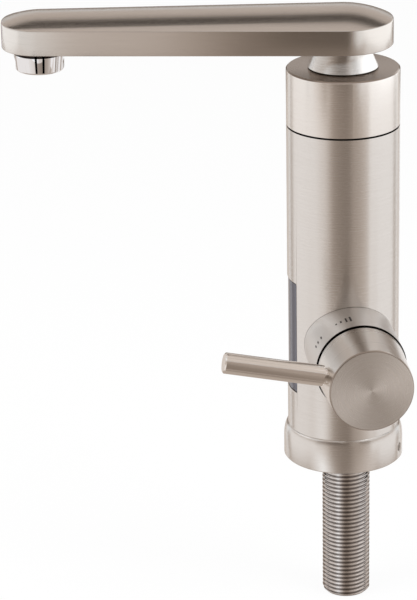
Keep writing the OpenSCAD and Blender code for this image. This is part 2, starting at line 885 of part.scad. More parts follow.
// Grub screw that clamps the hub on the stem, from below
module hub_set_screw() {
    color("#4a4a4c") translate([rod_x, 0, valve_z - stem_r]) mirror([0, 0, 1]) difference() {
        cylinder(r = grub_r, h = grub_l);
        translate([0, 0, grub_l / 2]) cylinder(r = grub_r / 2, h = grub_l, $fn = 6);
    }
}

// Plug that closes the grub screw's hole
module hub_plug() {
    color("#a9a29a") translate([rod_x, 0, valve_z]) mirror([0, 0, 1])
        translate([0, 0, hub_face_r - plug_t - plug_t / 2]) cylinder(r = plug_r, h = plug_t);
}

// Lever rod with its neck and the stud that screws into the hub
module lever_rod() {
    color("#d6d0c9") at_rod() {
        translate([0, 0, rod_stud_in]) cylinder(r = rod_stud_r, h = rod_start - rod_stud_in);
        rotate_extrude() polygon([
            [0, rod_start], [rod_neck_r, rod_start], [rod_neck_r, hub_r + rod_gap],
            [rod_r, hub_r + rod_gap], [rod_r, rod_reach - rod_chamfer],
            [rod_r - rod_chamfer, rod_reach], [0, rod_reach]]);
    }
}

// Body shell with the display window and the valve port
module body_shell() {
    color("#cdc7c0") difference() {
        translate([0, 0, foot_h]) tube(body_r, shell_bore_r, body_top - foot_h);
        window_block(0);
        on_valve_axis(0) cylinder(r = housing_r + seat_gap, h = body_r + cut);
    }
}

// Curved lens, a little below the body surface
module display_lens() {
    color("#6d7078") intersection() {
        translate([0, 0, foot_h]) tube(lens_r, lens_back_r, body_top - foot_h);
        window_block(-lens_gap);
    }
}

// Bezel that backs the lens and laps the window from inside, with posts for the board
module display_bezel() {
    color("#2e3034") difference() {
        union() {
            intersection() {
                translate([0, 0, foot_h]) tube(lens_back_r, lens_back_r - bezel_t, body_top - foot_h);
                difference() {
                    window_block(bezel_lap);
                    translate([0, cut, 0]) window_block(-bezel_lap);
                }
            }
            intersection() {
                cylinder(r = lens_back_r - bezel_t / 2, h = body_top);
                for (x = [-1, 1], z = [-1, 1])
                    translate([x * post_x, -display_board_y, window_z + z * post_z])
                        rotate([90, 0, 0]) cylinder(r = post_r, h = body_r - display_board_y);
            }
        }
        for (x = [-1, 1], z = [-1, 1])
            translate([x * post_x, -display_board_y + cut, window_z + z * post_z])
                rotate([90, 0, 0]) cylinder(r = screw_r + running_gap, h = cut + post_r);
    }
}

// Display board on the bezel's posts
module display_board() {
    color("#1f5b3a") difference() {
        translate([-display_board_w / 2, -display_board_y, window_z - display_board_h / 2])
            cube([display_board_w, display_board_t, display_board_h]);
        for (x = [-1, 1], z = [-1, 1])
            translate([x * post_x, -display_board_y - cut, window_z + z * post_z])
                rotate([-90, 0, 0]) cylinder(r = screw_r + running_gap, h = display_board_t + 2 * cut);
    }
}

// Four screws that hold the display board
module display_screws() {
    color("#8f9194") for (x = [-1, 1], z = [-1, 1])
        translate([x * post_x, display_board_t - display_board_y, window_z + z * post_z])
            rotate([90, 0, 0])
                screw_up(screw_r, display_board_t + post_r - moving_gap, screw_head_r, screw_head_t);
}

// Display module with two digits
module led_module() {
    color("#17181a") translate([-led_w / 2, -display_board_y - led_t, window_z - led_h / 2])
        difference() {
            cube([led_w, led_t, led_h]);
            for (i = [0, 1])
                translate([led_w / 4 + i * led_w / 2 - digit_w / 2, -cut, led_h / 2 - digit_h / 2])
                    cube([digit_w, cut + digit_t, digit_h]);
        }
}

// Chassis: a lower deck, a deck for the tank and a curved spine behind them
module chassis() {
    color("#77797c") difference() {
        union() {
            translate([0, 0, spigot_top]) cylinder(r = insert_r, h = deck_t);
            translate([0, 0, tank_deck_z]) cylinder(r = spine_in_r + spine_lap, h = deck_t);
            intersection() {
                translate([0, 0, spigot_top]) tube(insert_r, spine_in_r, socket_z - spigot_top);
                translate([-spine_half_w, 0, 0]) cube([2 * spine_half_w, body_r, body_top]);
            }
        }
        translate([0, shank_offset, spigot_top - cut])
            cylinder(r = pipe_r + seat_gap, h = deck_t + 2 * cut);
        translate([feed_x, 0, tank_deck_z - cut])
            cylinder(r = pipe_r + seat_gap, h = deck_t + 2 * cut);
        for (i = [-1:1])
            translate([i * wire_step, -gland_offset, spigot_top - cut])
                cylinder(r = wire_r + seat_gap, h = deck_t + 2 * cut);
    }
}

// Control board that stands between the two decks, with its smaller components
module control_board() {
    color("#1f5b3a") {
        translate([-board_x - board_t, -board_w / 2, low_deck_top])
            cube([board_t, board_w, tank_deck_z - low_deck_top]);
        for (i = [0, 1])
            translate([-board_x, (i - 0.5) * board_w / 2, valve_z - 2 * cap_can_r])
                rotate([0, 90, 0]) cylinder(r = cap_can_r, h = cap_can_l);
        translate([-board_x, -chip_w / 2, flow_top]) cube([chip_t, chip_w, chip_w]);
    }
}

// Relay that switches the heater
module power_relay() {
    color("#2a62a8") translate([-board_x, -relay_w / 2, relay_z]) cube([relay_d, relay_w, relay_h]);
}

// Heating tank: a cup with a flange at its top
module heating_tank() {
    color("#a9abad") difference() {
        union() {
            translate([0, 0, tank_z]) cylinder(r = tank_r, h = tank_h);
            translate([0, 0, tank_top - flange_l]) cylinder(r = lid_r, h = flange_l);
        }
        translate([0, 0, tank_z + tank_wall]) cylinder(r = tank_r - tank_wall, h = tank_h);
        translate([feed_x, 0, tank_z - cut]) cylinder(r = plug_bore_r, h = tank_wall + 2 * cut);
        lid_screw_places() translate([0, 0, tank_top - flange_l - cut])
            cylinder(r = lid_screw_r + running_gap, h = flange_l + 2 * cut);
    }
}

// Puts its children at the four lid screws
module lid_screw_places() {
    for (a = [45:90:315])
        rotate([0, 0, a]) translate([lid_screw_ring, 0, 0]) children();
}

// Gasket between the tank and its lid
module tank_gasket() {
    color("#1f1f21") translate([0, 0, tank_top])
        tube(tank_r, tank_r - tank_wall, tank_gasket_t);
}

// Lid of the tank, through which the element, the probe and the outlet pass
module tank_lid() {
    color("#b3b5b7") difference() {
        translate([0, 0, lid_z]) cylinder(r = lid_r, h = lid_t);
        element_legs() translate([0, 0, lid_z - cut])
            cylinder(r = element_r + seat_gap, h = lid_t + 2 * cut);
        translate([0, 0, lid_z - cut]) cylinder(r = plug_bore_r, h = lid_t + 2 * cut);
        translate([0, probe_y, lid_z - cut]) cylinder(r = probe_r + seat_gap, h = lid_t + 2 * cut);
        lid_screw_places() translate([0, 0, lid_z - cut])
            cylinder(r = lid_screw_r + running_gap, h = lid_t + 2 * cut);
    }
}

// Four screws that hold the lid
module lid_screws() {
    color("#8f9194") lid_screw_places() translate([0, 0, lid_top]) mirror([0, 0, 1])
        screw_up(lid_screw_r, lid_top - tank_top + flange_l, lid_screw_head_r, lid_screw_head_t);
}

// Puts its children at the four element legs
module element_legs() {
    for (x = [-1, 1], y = [-1, 1])
        translate([x * element_half, y * element_y, 0]) children();
}

// Heating element: two hairpins with their terminals above the lid
element_low = tank_z + tank_wall + element_clear + element_half;
module heating_element() {
    color("#9a7f68") {
        element_legs() translate([0, 0, element_low])
            cylinder(r = element_r, h = lid_top + terminal_l - element_low);
        for (y = [-1, 1])
            translate([0, y * element_y, element_low]) rotate([90, 0, 0]) difference() {
                rotate_extrude() translate([element_half, 0]) circle(r = element_r, $fn = 32);
                translate([-tank_r, 0, -tank_r]) cube(2 * tank_r);
            }
    }
}

// Temperature probe in the tank
module temperature_probe() {
    color("#d9d2c4") translate([0, probe_y, 0]) {
        translate([0, 0, lid_top - probe_l]) cylinder(r = probe_r, h = probe_l);
        translate([0, 0, lid_top]) cylinder(r = probe_head_r, h = probe_head_t);
    }
}

// Thermal cut-out on the side of the tank
module thermal_cutout() {
    color("#26282b") difference() {
        translate([-tank_r - cutout_t, 0, tank_z + tank_h / 2]) rotate([0, 90, 0])
            cylinder(r = cutout_r, h = cutout_t + cutout_pad);
        translate([0, 0, tank_z]) cylinder(r = tank_r, h = tank_h);
    }
}

// Pipe from the valve to the tank
module feed_pipe() {
    color("#c8a86a") translate([feed_x, 0, valve_z + housing_r + stub_h])
        tube(pipe_r, plug_bore_r, tank_z - valve_z - housing_r - stub_h);
}

// Pipe from the tank to the swivel socket
module outlet_pipe() {
    color("#c8a86a") translate([0, 0, lid_top]) tube(pipe_r, plug_bore_r, body_top - lid_top);
}

// Swivel socket: a plate and rim that join body and cap, and the tube that the spout turns in
module swivel_socket() {
    color("#b8925a") difference() {
        union() {
            translate([0, 0, socket_z]) cylinder(r = insert_r, h = socket_plate_t);
            translate([0, 0, body_top]) tube(insert_r, insert_r - socket_rim_t, socket_rim_h);
            translate([0, 0, body_top]) cylinder(r = socket_r, h = cap_under - body_top);
        }
        translate([0, 0, socket_z - cut]) cylinder(r = pipe_r + seat_gap, h = socket_plate_t + 2 * cut);
        translate([0, 0, body_top]) cylinder(r = socket_bore_r, h = cap_h);
        translate([0, 0, washer_z]) cylinder(r = socket_step_r, h = cap_h);
    }
}

// Dark ring that fills the bottom of the groove
module groove_ring() {
    color("#1b1b1c") translate([0, 0, body_top])
        tube(body_r - groove_depth, insert_r, groove_h);
}

// Cap shell above the groove
module cap_shell() {
    color("#cdc7c0") difference() {
        translate([0, 0, cap_z]) rotate_extrude() polygon([
            [body_r - cap_wall, 0], [body_r, 0], [body_r, cap_h - cap_edge],
            [body_r - cap_edge, cap_h], [0, cap_h], [0, cap_h - cap_top_t],
            [body_r - cap_wall, cap_h - cap_top_t]]);
        translate([0, 0, cap_under - cut])
            cylinder(r = nut_sleeve_r + seat_gap, h = cap_top_t + 2 * cut);
        translate([0, 0, cap_top - nut_flange_t])
            cylinder(r = nut_flange_r + seat_gap, h = nut_flange_t + cut);
    }
}

// Bearing washer that the spout's shoulder turns on
module swivel_washer() {
    color("#ece9e2") translate([0, 0, washer_z])
        tube(socket_step_r - seat_gap, socket_bore_r + moving_gap, washer_t);
}

// Ring nut that traps the spigot and clamps the cap
module swivel_nut() {
    color("#b08d4a") difference() {
        union() {
            translate([0, 0, nut_z]) cylinder(r = nut_sleeve_r, h = cap_top - nut_z);
            translate([0, 0, cap_top - nut_flange_t]) cylinder(r = nut_flange_r, h = nut_flange_t);
        }
        translate([0, 0, nut_z - cut])
            cylinder(r = spigot_r + moving_gap, h = cap_top - nut_z + 2 * cut);
    }
}

// Height of each O-ring of the spigot
function o_ring_level(share) = spigot_z + (washer_z - spigot_z) * share;

// Spigot on which the spout turns
module swivel_spigot() {
    color("#c0a063") difference() {
        union() {
            translate([0, 0, spigot_z]) cylinder(r = spigot_r, h = neck_z - spigot_z);
            translate([0, 0, shoulder_z]) cylinder(r = socket_step_r - moving_gap, h = shoulder_t);
            translate([0, 0, neck_z]) cylinder(r = tail_r, h = tail_top - neck_z);
        }
        translate([0, 0, spigot_z - cut])
            cylinder(r = spigot_bore_r, h = tail_top - spigot_z + 2 * cut);
        for (share = ring_levels_shares)
            translate([0, 0, o_ring_level(share) - groove_w / 2])
                tube(spigot_r + cut, spigot_r - 2 * o_ring_r, groove_w);
    }
}

// Two O-rings that seal the spigot
module spigot_o_rings() {
    color("#1f1f21") for (share = ring_levels_shares)
        translate([0, 0, o_ring_level(share)]) rotate_extrude()
            translate([spigot_r - o_ring_r, 0]) circle(r = o_ring_r, $fn = 24);
}

// Tapered neck between the cap and the spout
module spout_neck() {
    color("#b5ada4") difference() {
        translate([0, 0, neck_z])
            cylinder(r1 = neck_low_r, r2 = neck_high_r, h = spout_z - neck_z);
        translate([0, 0, neck_z - cut]) cylinder(r = tail_r + seat_gap, h = spout_z - neck_z + 2 * cut);
    }
}

// Tray of the spout: its flat underside and vertical sides
module spout_tray() {
    color("#aaa198") on_spout() difference() {
        translate([0, 0, spout_z]) linear_extrude(spout_side) polygon(spout_outline(0));
        translate([0, 0, spout_z + spout_wall])
            linear_extrude(spout_side) polygon(spout_outline(spout_wall));
        translate([0, 0, spout_z - cut])
            cylinder(r = tail_r + seat_gap, h = spout_wall + 2 * cut);
        translate([outlet_x, 0, spout_z - cut])
            cylinder(r = aerator_bore_r, h = spout_wall + 2 * cut);
    }
}

// Nut that holds the tray on the spigot
module spout_nut() {
    color("#b08d4a") translate([0, 0, spout_z + spout_wall]) difference() {
        cylinder(r = spout_nut_r, h = spout_nut_t, $fn = 6);
        translate([0, 0, -cut]) cylinder(r = tail_r + seat_gap, h = spout_nut_t + 2 * cut);
    }
}

// Elbow that leads the water from the spigot into the spout tube
module spout_elbow() {
    color("#d8d8d4") on_spout() difference() {
        union() {
            translate([0, 0, elbow_z]) cylinder(r = elbow_r, h = elbow_top - elbow_z);
            translate([0, 0, spout_tube_z]) rotate([0, 90, 0])
                cylinder(r = spout_tube_r + seat_gap + spout_tube_wall, h = elbow_r + tube_in);
        }
        translate([0, 0, elbow_z - cut]) cylinder(r = tail_r + seat_gap, h = tail_top - elbow_z + cut);
        translate([0, 0, elbow_z]) cylinder(r = spigot_bore_r, h = elbow_top - elbow_z - spout_tube_wall);
        translate([0, 0, spout_tube_z]) rotate([0, 90, 0])
            cylinder(r = spout_tube_r - spout_tube_wall, h = elbow_r + tube_in + cut);
        translate([elbow_r, 0, spout_tube_z]) rotate([0, 90, 0])
            cylinder(r = spout_tube_r + seat_gap, h = tube_in + cut);
    }
}

// Tube along the spout, from the elbow to the outlet
module spout_tube() {
    color("#e6e6e2") on_spout() translate([elbow_r, 0, spout_tube_z]) rotate([0, 90, 0])
        tube(spout_tube_r, spout_tube_r - spout_tube_wall,
             outlet_x - adapter_flange_r + tube_in - elbow_r);
}

// Domed cover of the spout
module spout_cover() {
    color("#a79d93") on_spout() difference() {
        dome(0);
        dome(cover_t);
    }
}

// Threaded adapter inside the spout's tip
module aerator_adapter() {
    color("#b8925a") on_spout() translate([outlet_x, 0, 0]) difference() {
        union() {
            translate([0, 0, adapter_low])
                cylinder(r = aerator_bore_r - seat_gap, h = spout_z + spout_wall - adapter_low);
            translate([0, 0, spout_z + spout_wall])
                cylinder(r = adapter_flange_r, h = adapter_top - spout_z - spout_wall);
        }
        translate([0, 0, adapter_low - cut])
            cylinder(r = adapter_bore_r, h = adapter_top - adapter_wall - adapter_low + cut);
        translate([-adapter_flange_r - cut, 0, spout_tube_z]) rotate([0, 90, 0])
            cylinder(r = spout_tube_r + seat_gap, h = tube_in + cut);
        translate([-adapter_flange_r, 0, spout_tube_z]) rotate([0, 90, 0])
            cylinder(r = spout_tube_r - spout_tube_wall, h = adapter_flange_r);
    }
}

// Rubber ring between the adapter and the insert
module aerator_gasket() {
    color("#1f1f21") on_spout() translate([outlet_x, 0, insert_top])
        tube(aerator_bore_r - 2 * seat_gap, adapter_bore_r, seal_ring_t);
}

// Insert with its field of small outlets
module aerator_insert() {
    color("#cfd2d4") on_spout() translate([outlet_x, 0, 0]) difference() {
        union() {
            translate([0, 0, aerator_z + insert_recess])
                cylinder(r = aerator_mouth_r - seat_gap, h = aerator_lip);
            translate([0, 0, aerator_z + aerator_lip])
                cylinder(r = aerator_bore_r - 2 * seat_gap, h = insert_top - aerator_z - aerator_lip);
        }
        for (k = [1:mesh_rings], i = [0:6 * k - 1])
            rotate([0, 0, 60 * i / k]) translate([k * mesh_step, 0, aerator_z])
                cylinder(r = mesh_hole_r, h = aerator_h);
        translate([0, 0, aerator_z]) cylinder(r = mesh_hole_r, h = aerator_h);
    }
}

// Bright collar of the aerator, with its two spanner flats
module aerator_collar() {
    color("#c6c8ca") on_spout() translate([outlet_x, 0, aerator_z]) difference() {
        rotate_extrude() polygon([
            [aerator_mouth_r, 0], [aerator_low_r - aerator_edge, 0],
            [aerator_low_r, aerator_edge], [aerator_r, aerator_h - aerator_edge],
            [aerator_r - aerator_edge / 2, aerator_h], [aerator_bore_r, aerator_h],
            [aerator_bore_r, aerator_lip], [aerator_mouth_r, aerator_lip]]);
        for (side = [0, 180])
            rotate([0, 0, side]) translate([aerator_flats / 2, 0, 0]) rotate([90, 0, 90])
                linear_extrude(aerator_r) union() {
                    translate([0, flat_rise - flat_r]) circle(r = flat_r);
                    translate([-flat_r, -cut]) square([2 * flat_r, flat_rise - flat_r + cut]);
                }
    }
}

base_gasket();
shank();
foot_ring();
foot_set_screw();
cable_gland();
mains_wires();
terminal_block();
inlet_pipe();
inlet_o_ring();
flow_switch();
flow_piston();
piston_spring();
valve_housing();
valve_seals();
ceramic_seat();
ceramic_disc();
cartridge_body();
cartridge_nut();
valve_stem();
valve_collar();
collar_ring();
lever_hub();
hub_set_screw();
hub_plug();
lever_rod();
body_shell();
display_lens();
display_bezel();
display_board();
display_screws();
led_module();
chassis();
control_board();
power_relay();
heating_tank();
tank_gasket();
tank_lid();
lid_screws();
heating_element();
temperature_probe();
thermal_cutout();
feed_pipe();
outlet_pipe();
swivel_socket();
groove_ring();
cap_shell();
swivel_washer();
swivel_nut();
swivel_spigot();
spigot_o_rings();
spout_neck();
spout_tray();
spout_nut();
spout_elbow();
spout_tube();
spout_cover();
aerator_adapter();
aerator_gasket();
aerator_insert();
aerator_collar();
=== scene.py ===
import json
import math

import bmesh
import bpy
from mathutils import Matrix, Vector


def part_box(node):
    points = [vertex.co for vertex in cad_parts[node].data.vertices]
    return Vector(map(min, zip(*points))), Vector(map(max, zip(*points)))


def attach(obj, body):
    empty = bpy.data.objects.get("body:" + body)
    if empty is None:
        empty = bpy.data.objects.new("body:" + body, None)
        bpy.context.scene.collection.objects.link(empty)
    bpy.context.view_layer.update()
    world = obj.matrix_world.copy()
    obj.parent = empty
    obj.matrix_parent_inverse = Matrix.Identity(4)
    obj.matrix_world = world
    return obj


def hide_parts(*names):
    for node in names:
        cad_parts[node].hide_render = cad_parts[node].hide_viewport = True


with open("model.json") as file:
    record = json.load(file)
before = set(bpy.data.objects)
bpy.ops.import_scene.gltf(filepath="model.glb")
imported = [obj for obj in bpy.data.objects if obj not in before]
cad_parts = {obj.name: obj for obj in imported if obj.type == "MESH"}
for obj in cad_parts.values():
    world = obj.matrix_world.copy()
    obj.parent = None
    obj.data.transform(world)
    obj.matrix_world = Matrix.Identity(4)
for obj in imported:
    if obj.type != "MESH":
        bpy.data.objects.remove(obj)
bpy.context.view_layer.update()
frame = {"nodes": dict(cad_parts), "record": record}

MM = 0.001
MERGE = 0.002 * MM
NEAR = 0.01 * MM
OVERRUN = 2 * MM
node = frame["nodes"]
record = frame["record"]
bpy.ops.object.select_all(action="DESELECT")

# Sizes that the new pieces share, read from the frame
body_low, body_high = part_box("body_shell")
_, cap_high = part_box("cap_shell")
lens_low, lens_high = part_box("display_lens")
foot_low, foot_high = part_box("foot_ring")
shank_low, shank_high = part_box("shank")
hub_low, hub_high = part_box("lever_hub")
collar_low, collar_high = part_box("valve_collar")
tray_low, tray_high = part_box("spout_tray")
outlet_low, outlet_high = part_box("aerator_collar")
body_r = body_high.x
collar_r = (collar_high.z - collar_low.z) / 2
valve_z = (hub_low.z + hub_high.z) / 2
outlet = (outlet_low + outlet_high) / 2
outlet_x = math.hypot(outlet.x, outlet.y)
spout_turn = math.atan2(outlet.y, outlet.x)

# Camera, fitted to the photograph
CAMERA_DISTANCE = 1.500
CAMERA_HEIGHT = 0.6515
CAMERA_AZIMUTH = 80.392
CAMERA_PITCH = 20.62
CAMERA_YAW = 2.71
CAMERA_ROLL = -0.98
FOCAL_PIXELS = 3039.6
IMAGE_HEIGHT = 600
SENSOR = 36
NEAREST = 0.05


def add_camera():
    data = bpy.data.cameras.new("camera")
    camera = bpy.data.objects.new("camera", data)
    bpy.context.scene.collection.objects.link(camera)
    azimuth = math.radians(CAMERA_AZIMUTH)
    place = Vector((CAMERA_DISTANCE * math.sin(azimuth), -CAMERA_DISTANCE * math.cos(azimuth),
                    CAMERA_HEIGHT))
    camera.matrix_world = (
        Matrix.Translation(place)
        @ Matrix.Rotation(math.radians(CAMERA_AZIMUTH + CAMERA_YAW), 4, "Z")
        @ Matrix.Rotation(math.radians(90 - CAMERA_PITCH), 4, "X")
        @ Matrix.Rotation(math.radians(CAMERA_ROLL), 4, "Z"))
    data.sensor_fit = "VERTICAL"
    data.sensor_height = SENSOR
    data.lens = FOCAL_PIXELS * SENSOR / IMAGE_HEIGHT
    data.clip_start = NEAREST
    bpy.context.scene.camera = camera


class Value:
    """A node's output that Python's operators work on, each adding a Math node."""

    def __init__(self, finish, socket):
        self.finish = finish
        self.socket = socket

    def out(self, name):
        return Value(self.finish, self.socket.node.outputs[name])

    def math(self, operation, *others):
        return self.finish.node("ShaderNodeMath", {"operation": operation}, (self, *others))

    def __add__(self, other):
        return self.math("ADD", other)

    def __sub__(self, other):
        return self.math("SUBTRACT", other)

    def __mul__(self, other):
        return self.math("MULTIPLY", other)

    def __truediv__(self, other):
        return self.math("DIVIDE", other)

    def __gt__(self, other):
        return self.math("GREATER_THAN", other)

    def __lt__(self, other):
        return self.math("LESS_THAN", other)

    def __rsub__(self, other):
        return self.finish.node("ShaderNodeMath", {"operation": "SUBTRACT"}, (other, self))


MIX_LOW, MIX_HIGH = 6, 7  # the colour inputs of a Mix node


class Finish:
    """A material, or a world, whose nodes are written as calls and expressions."""

    def __init__(self, name, world=None):
        self.material = bpy.data.materials.new(name) if world is None else world
        self.material.use_nodes = True
        self.nodes = self.material.node_tree.nodes
        self.links = self.material.node_tree.links
        self.nodes.clear()

    def node(self, kind, settings=None, inputs=()):
        """Adds a node with its settings, then fills its sockets by order or by name."""
        made = self.nodes.new(kind)
        for name, setting in (settings or {}).items():
            if name == "stops":
                ramp = made.color_ramp.elements
                while len(ramp) < len(setting):
                    ramp.new(0.5)
                for stop, (place, colour) in zip(ramp, setting):
                    stop.position = place
                    stop.color = (*colour[:3], 1)
            else:
                setattr(made, name, setting)
        pairs = inputs.items() if isinstance(inputs, dict) else enumerate(inputs)
        for name, value in pairs:
            if isinstance(value, Value):
                self.links.new(value.socket, made.inputs[name])
            else:
                made.inputs[name].default_value = value
        return Value(self, next(o for o in made.outputs if o.enabled)) if made.outputs else made

    def point(self):
        return self.node("ShaderNodeTexCoord").out("Object")

    def vector(self, operation, *inputs):
        return self.node("ShaderNodeVectorMath", {"operation": operation}, inputs)

    def parts(self, centre=(0, 0, 0)):
        """Distances from a centre along X, Y and Z."""
        moved = self.vector("SUBTRACT", self.point(), centre)
        split = self.node("ShaderNodeSeparateXYZ", {}, (moved,))
        return [split.out(axis) for axis in "XYZ"]

    def place(self, scale=(1, 1, 1), turn=(0, 0, 0)):
        """Object coordinates, turned and then scaled."""
        turned = self.node("ShaderNodeMapping", {}, {"Vector": self.point(), "Rotation": turn})
        return self.vector("MULTIPLY", turned, scale)

    def distance(self, centre, along):
        """Distance from an axis through a centre: along has 0 for the axis and 1 across it."""
        across = self.vector("MULTIPLY", self.vector("SUBTRACT", self.point(), centre), along)
        return self.vector("LENGTH", across)

    def noise(self, where, scale=1, detail=3, roughness=0.55):
        return self.node("ShaderNodeTexNoise", {}, {
            "Vector": where, "Scale": scale, "Detail": detail, "Roughness": roughness})

    def rings(self, radius, spacing):
        """Fine turned rings that vary only with the distance from the axis."""
        line = self.node("ShaderNodeCombineXYZ", {}, (radius * (1 / spacing), 0, 0))
        return self.noise(line, 1, 4, 0.7)

    def mix(self, factor, low, high):
        return self.node("ShaderNodeMix", {"data_type": "RGBA"}, {
            "Factor": factor, MIX_LOW: low, MIX_HIGH: high}).out("Result")

    def bump(self, height, strength, distance):
        return self.node("ShaderNodeBump", {}, {
            "Height": height, "Strength": strength, "Distance": distance})

    def shade(self, **sockets):
        """Ends the material in a Principled shader with these sockets."""
        inputs = {name.replace("_", " "): value for name, value in sockets.items()}
        return self.surface(self.node("ShaderNodeBsdfPrincipled", {}, inputs))

    def surface(self, shader):
        """Ends the material in any shader."""
        self.node("ShaderNodeOutputMaterial", {}, {"Surface": shader})
        return self.material


def linear(red, green, blue):
    """A colour written as it looks, 0 to 255, as the shader's linear values."""
    return tuple(((c / 255 + 0.055) / 1.055) ** 2.4 if c > 10 else c / 255 / 12.92
                 for c in (red, green, blue)) + (1,)


# Brushed and turned steel: colours, and how fine the grain is across and along it
BRIGHT = (243, 242, 241)
SHADE = (223, 220, 217)
# Painted shadow in the gap between the valve collar and the lever hub
PAINTED_GAP_SHADOW = linear(26, 23, 22)
# Painted shade in the crease where the collar meets the body
PAINTED_JOINT_SHADE = linear(62, 56, 52)
# Painted dark reflection on the top edge of the cap
PAINTED_RIM_REFLECTION = linear(168, 158, 150)
# Painted dark reflection on the edge round the lever hub's face
PAINTED_FACE_EDGE_REFLECTION = linear(176, 166, 158)
FINE = 7000
MEDIUM = 1400
LONG = 40
RING_STEP = 0.25 * MM
GRAIN_DEPTH = 0.04 * MM
RING_DEPTH = 0.05 * MM
ROD_RISE = math.radians(11.7)
SHANK_R = 12.7 * MM
SHANK_Y = 1.5 * MM
THREAD_DEPTH = 1.15 * MM
HUB_EDGE = 0.9 * MM
HUB_FACE_R = 21.0 * MM
HUB_FACE_T = 0.05 * MM
# Turn of the painted highlight sectors on the hub's face
HIGHLIGHT_SECTOR_TURN = math.radians(20)
# Widths of the painted shadow, shade and dark reflection bands, the lens's painted shadow border,
# and how far down the chrome's painted shadow reaches
GAP_EDGE = 0.35 * MM
JOINT_EDGE = 0.35 * MM
RIM_EDGE = 0.6 * MM
CHROME_SHADOW_H = 2.8 * MM
LENS_SHADOW_BORDER = 0.6 * MM
WIRE_HALF_GAP = 1.6 * MM


def grain(across, fineness):
    """Noise scales that are fine across the brush lines and long along them."""
    return [LONG + (fineness - LONG) * a for a in across]


def brushed_steel(name, light, dark, across, roughness=0.26, spread=0.0, rotation=0.0,
                  turn=(0, 0, 0), joint=None, rim=None):
    """Brushed stainless steel: across has 1 for the axis that the brush lines lie across. It has
    painted shade at the joint, within that distance of the Z axis, painted shadow where the
    collar ends by the hub, and a painted dark reflection above the rim's height."""
    finish = Finish(name)
    fine = finish.noise(finish.place(grain(across, FINE), turn), 1, 4, 0.7)
    medium = finish.noise(finish.place(grain(across, MEDIUM), turn), 1, 2)
    cloud = finish.noise(finish.place(), 16, 2)
    tone = fine * 0.4 + medium * 0.35 + cloud * 0.25
    colour = finish.mix(tone, linear(*dark), linear(*light))
    if joint:
        # Painted shade where the collar meets the body tube
        in_joint_shade = finish.distance((0, 0, 0), (1, 1, 0)) < joint
        # Painted shadow on the collar's end, in the gap to the hub
        in_gap_shadow = finish.parts()[0] > collar_high.x - GAP_EDGE
        colour = finish.mix(in_joint_shade, colour, PAINTED_JOINT_SHADE)
        colour = finish.mix(in_gap_shadow, colour, PAINTED_GAP_SHADOW)
    if rim:
        # Painted dark reflection above the rim's height
        colour = finish.mix(finish.parts()[2] > rim, colour, PAINTED_RIM_REFLECTION)
    return finish.shade(
        Base_Color=colour, Metallic=1.0,
        Roughness=fine * 0.1 + (roughness - 0.05),
        Anisotropic=spread, Anisotropic_Rotation=rotation,
        Normal=finish.bump(fine, 0.15, GRAIN_DEPTH))


def turned_steel(name, light, dark, centre):
    """Steel turned on a lathe round an axis along X: rings, paler and darker sectors painted as
    highlights, a painted dark reflection on the edge round the face, and painted shadow at its
    end by the collar."""
    finish = Finish(name)
    radius = finish.distance(centre, (0, 1, 1))
    ring = finish.rings(radius, RING_STEP)
    x, y, z = finish.parts(centre)
    # Paler and darker sectors round the axis: painted highlights of the turned face
    angle = z.math("ARCTAN2", y)
    painted_highlight_sector = ((angle - HIGHLIGHT_SECTOR_TURN) * 2).math("COSINE")
    along = finish.noise(finish.place((FINE, LONG, LONG)), 1, 4, 0.7)
    cloud = finish.noise(finish.place(), 60, 2)
    tone = ring * 0.25 + along * 0.15 + cloud * 0.15 + painted_highlight_sector * 0.4 + 0.25
    colour = finish.mix(tone, linear(*dark), linear(*light))
    # Painted dark reflection on the edge round the face
    edge = (radius > HUB_FACE_R) * (x > hub_high.x - HUB_EDGE)
    colour = finish.mix(edge, colour, PAINTED_FACE_EDGE_REFLECTION)
    # Painted shadow on the hub's end, in the gap to the collar
    colour = finish.mix(x < hub_low.x + GAP_EDGE, colour, PAINTED_GAP_SHADOW)
    face = x > hub_high.x - HUB_FACE_T
    return finish.shade(Base_Color=colour, Metallic=1.0 - face * 0.2,
                        Roughness=ring * 0.08 + 0.24,
                        Normal=finish.bump(ring * 0.5 + along * 0.5, 0.2, RING_DEPTH))


def thread_steel():
    """Steel with painted shade in the grooves between the thread's crests."""
    finish = Finish("steel_thread")
    spots = finish.noise(finish.place(), 300, 2)
    radius = finish.distance((0, SHANK_Y, 0), (1, 1, 0))
    rise = (radius - (SHANK_R - THREAD_DEPTH)) / THREAD_DEPTH
    steel = finish.mix(spots, linear(226, 223, 222), linear(246, 244, 243))
    # Painted shade in the thread's grooves, lighter towards the crests
    crest = (rise * 1.6 - 0.25).math("MAXIMUM", 0.0).math("MINIMUM", 1.0)
    colour = finish.mix(crest, linear(150, 145, 143), steel)
    return finish.shade(Base_Color=colour, Metallic=1.0, Roughness=spots * 0.06 + 0.14,
                        Normal=finish.bump(spots, 0.05, 0.02 * MM))


def chrome():
    """Bright chrome, with painted shadow near its top, where it goes up under the spout."""
    finish = Finish("chrome")
    haze = finish.noise(finish.place(), 600, 2)
    # Painted shadow cast by the spout on the top of the sleeve
    inside = finish.parts()[2] > outlet_high.z - CHROME_SHADOW_H
    colour = finish.mix(inside, linear(244, 245, 248), linear(40, 36, 34))
    return finish.shade(Base_Color=colour, Metallic=1.0, Roughness=haze * 0.03 + 0.02)


def plain(name, colour, roughness=0.5, metallic=0.0, grain=0.1, scale=800, **more):
    """A moulded, rubber or plain metal finish with a fine grain."""
    finish = Finish(name)
    spots = finish.noise(finish.place(), scale, 3)
    tint = finish.mix(spots, linear(*[c * (1 - grain) for c in colour]), linear(*colour))
    return finish.shade(Base_Color=tint, Metallic=metallic,
                        Roughness=spots * 0.12 + (roughness - 0.06),
                        Normal=finish.bump(spots, 0.2, 0.05 * MM), **more)


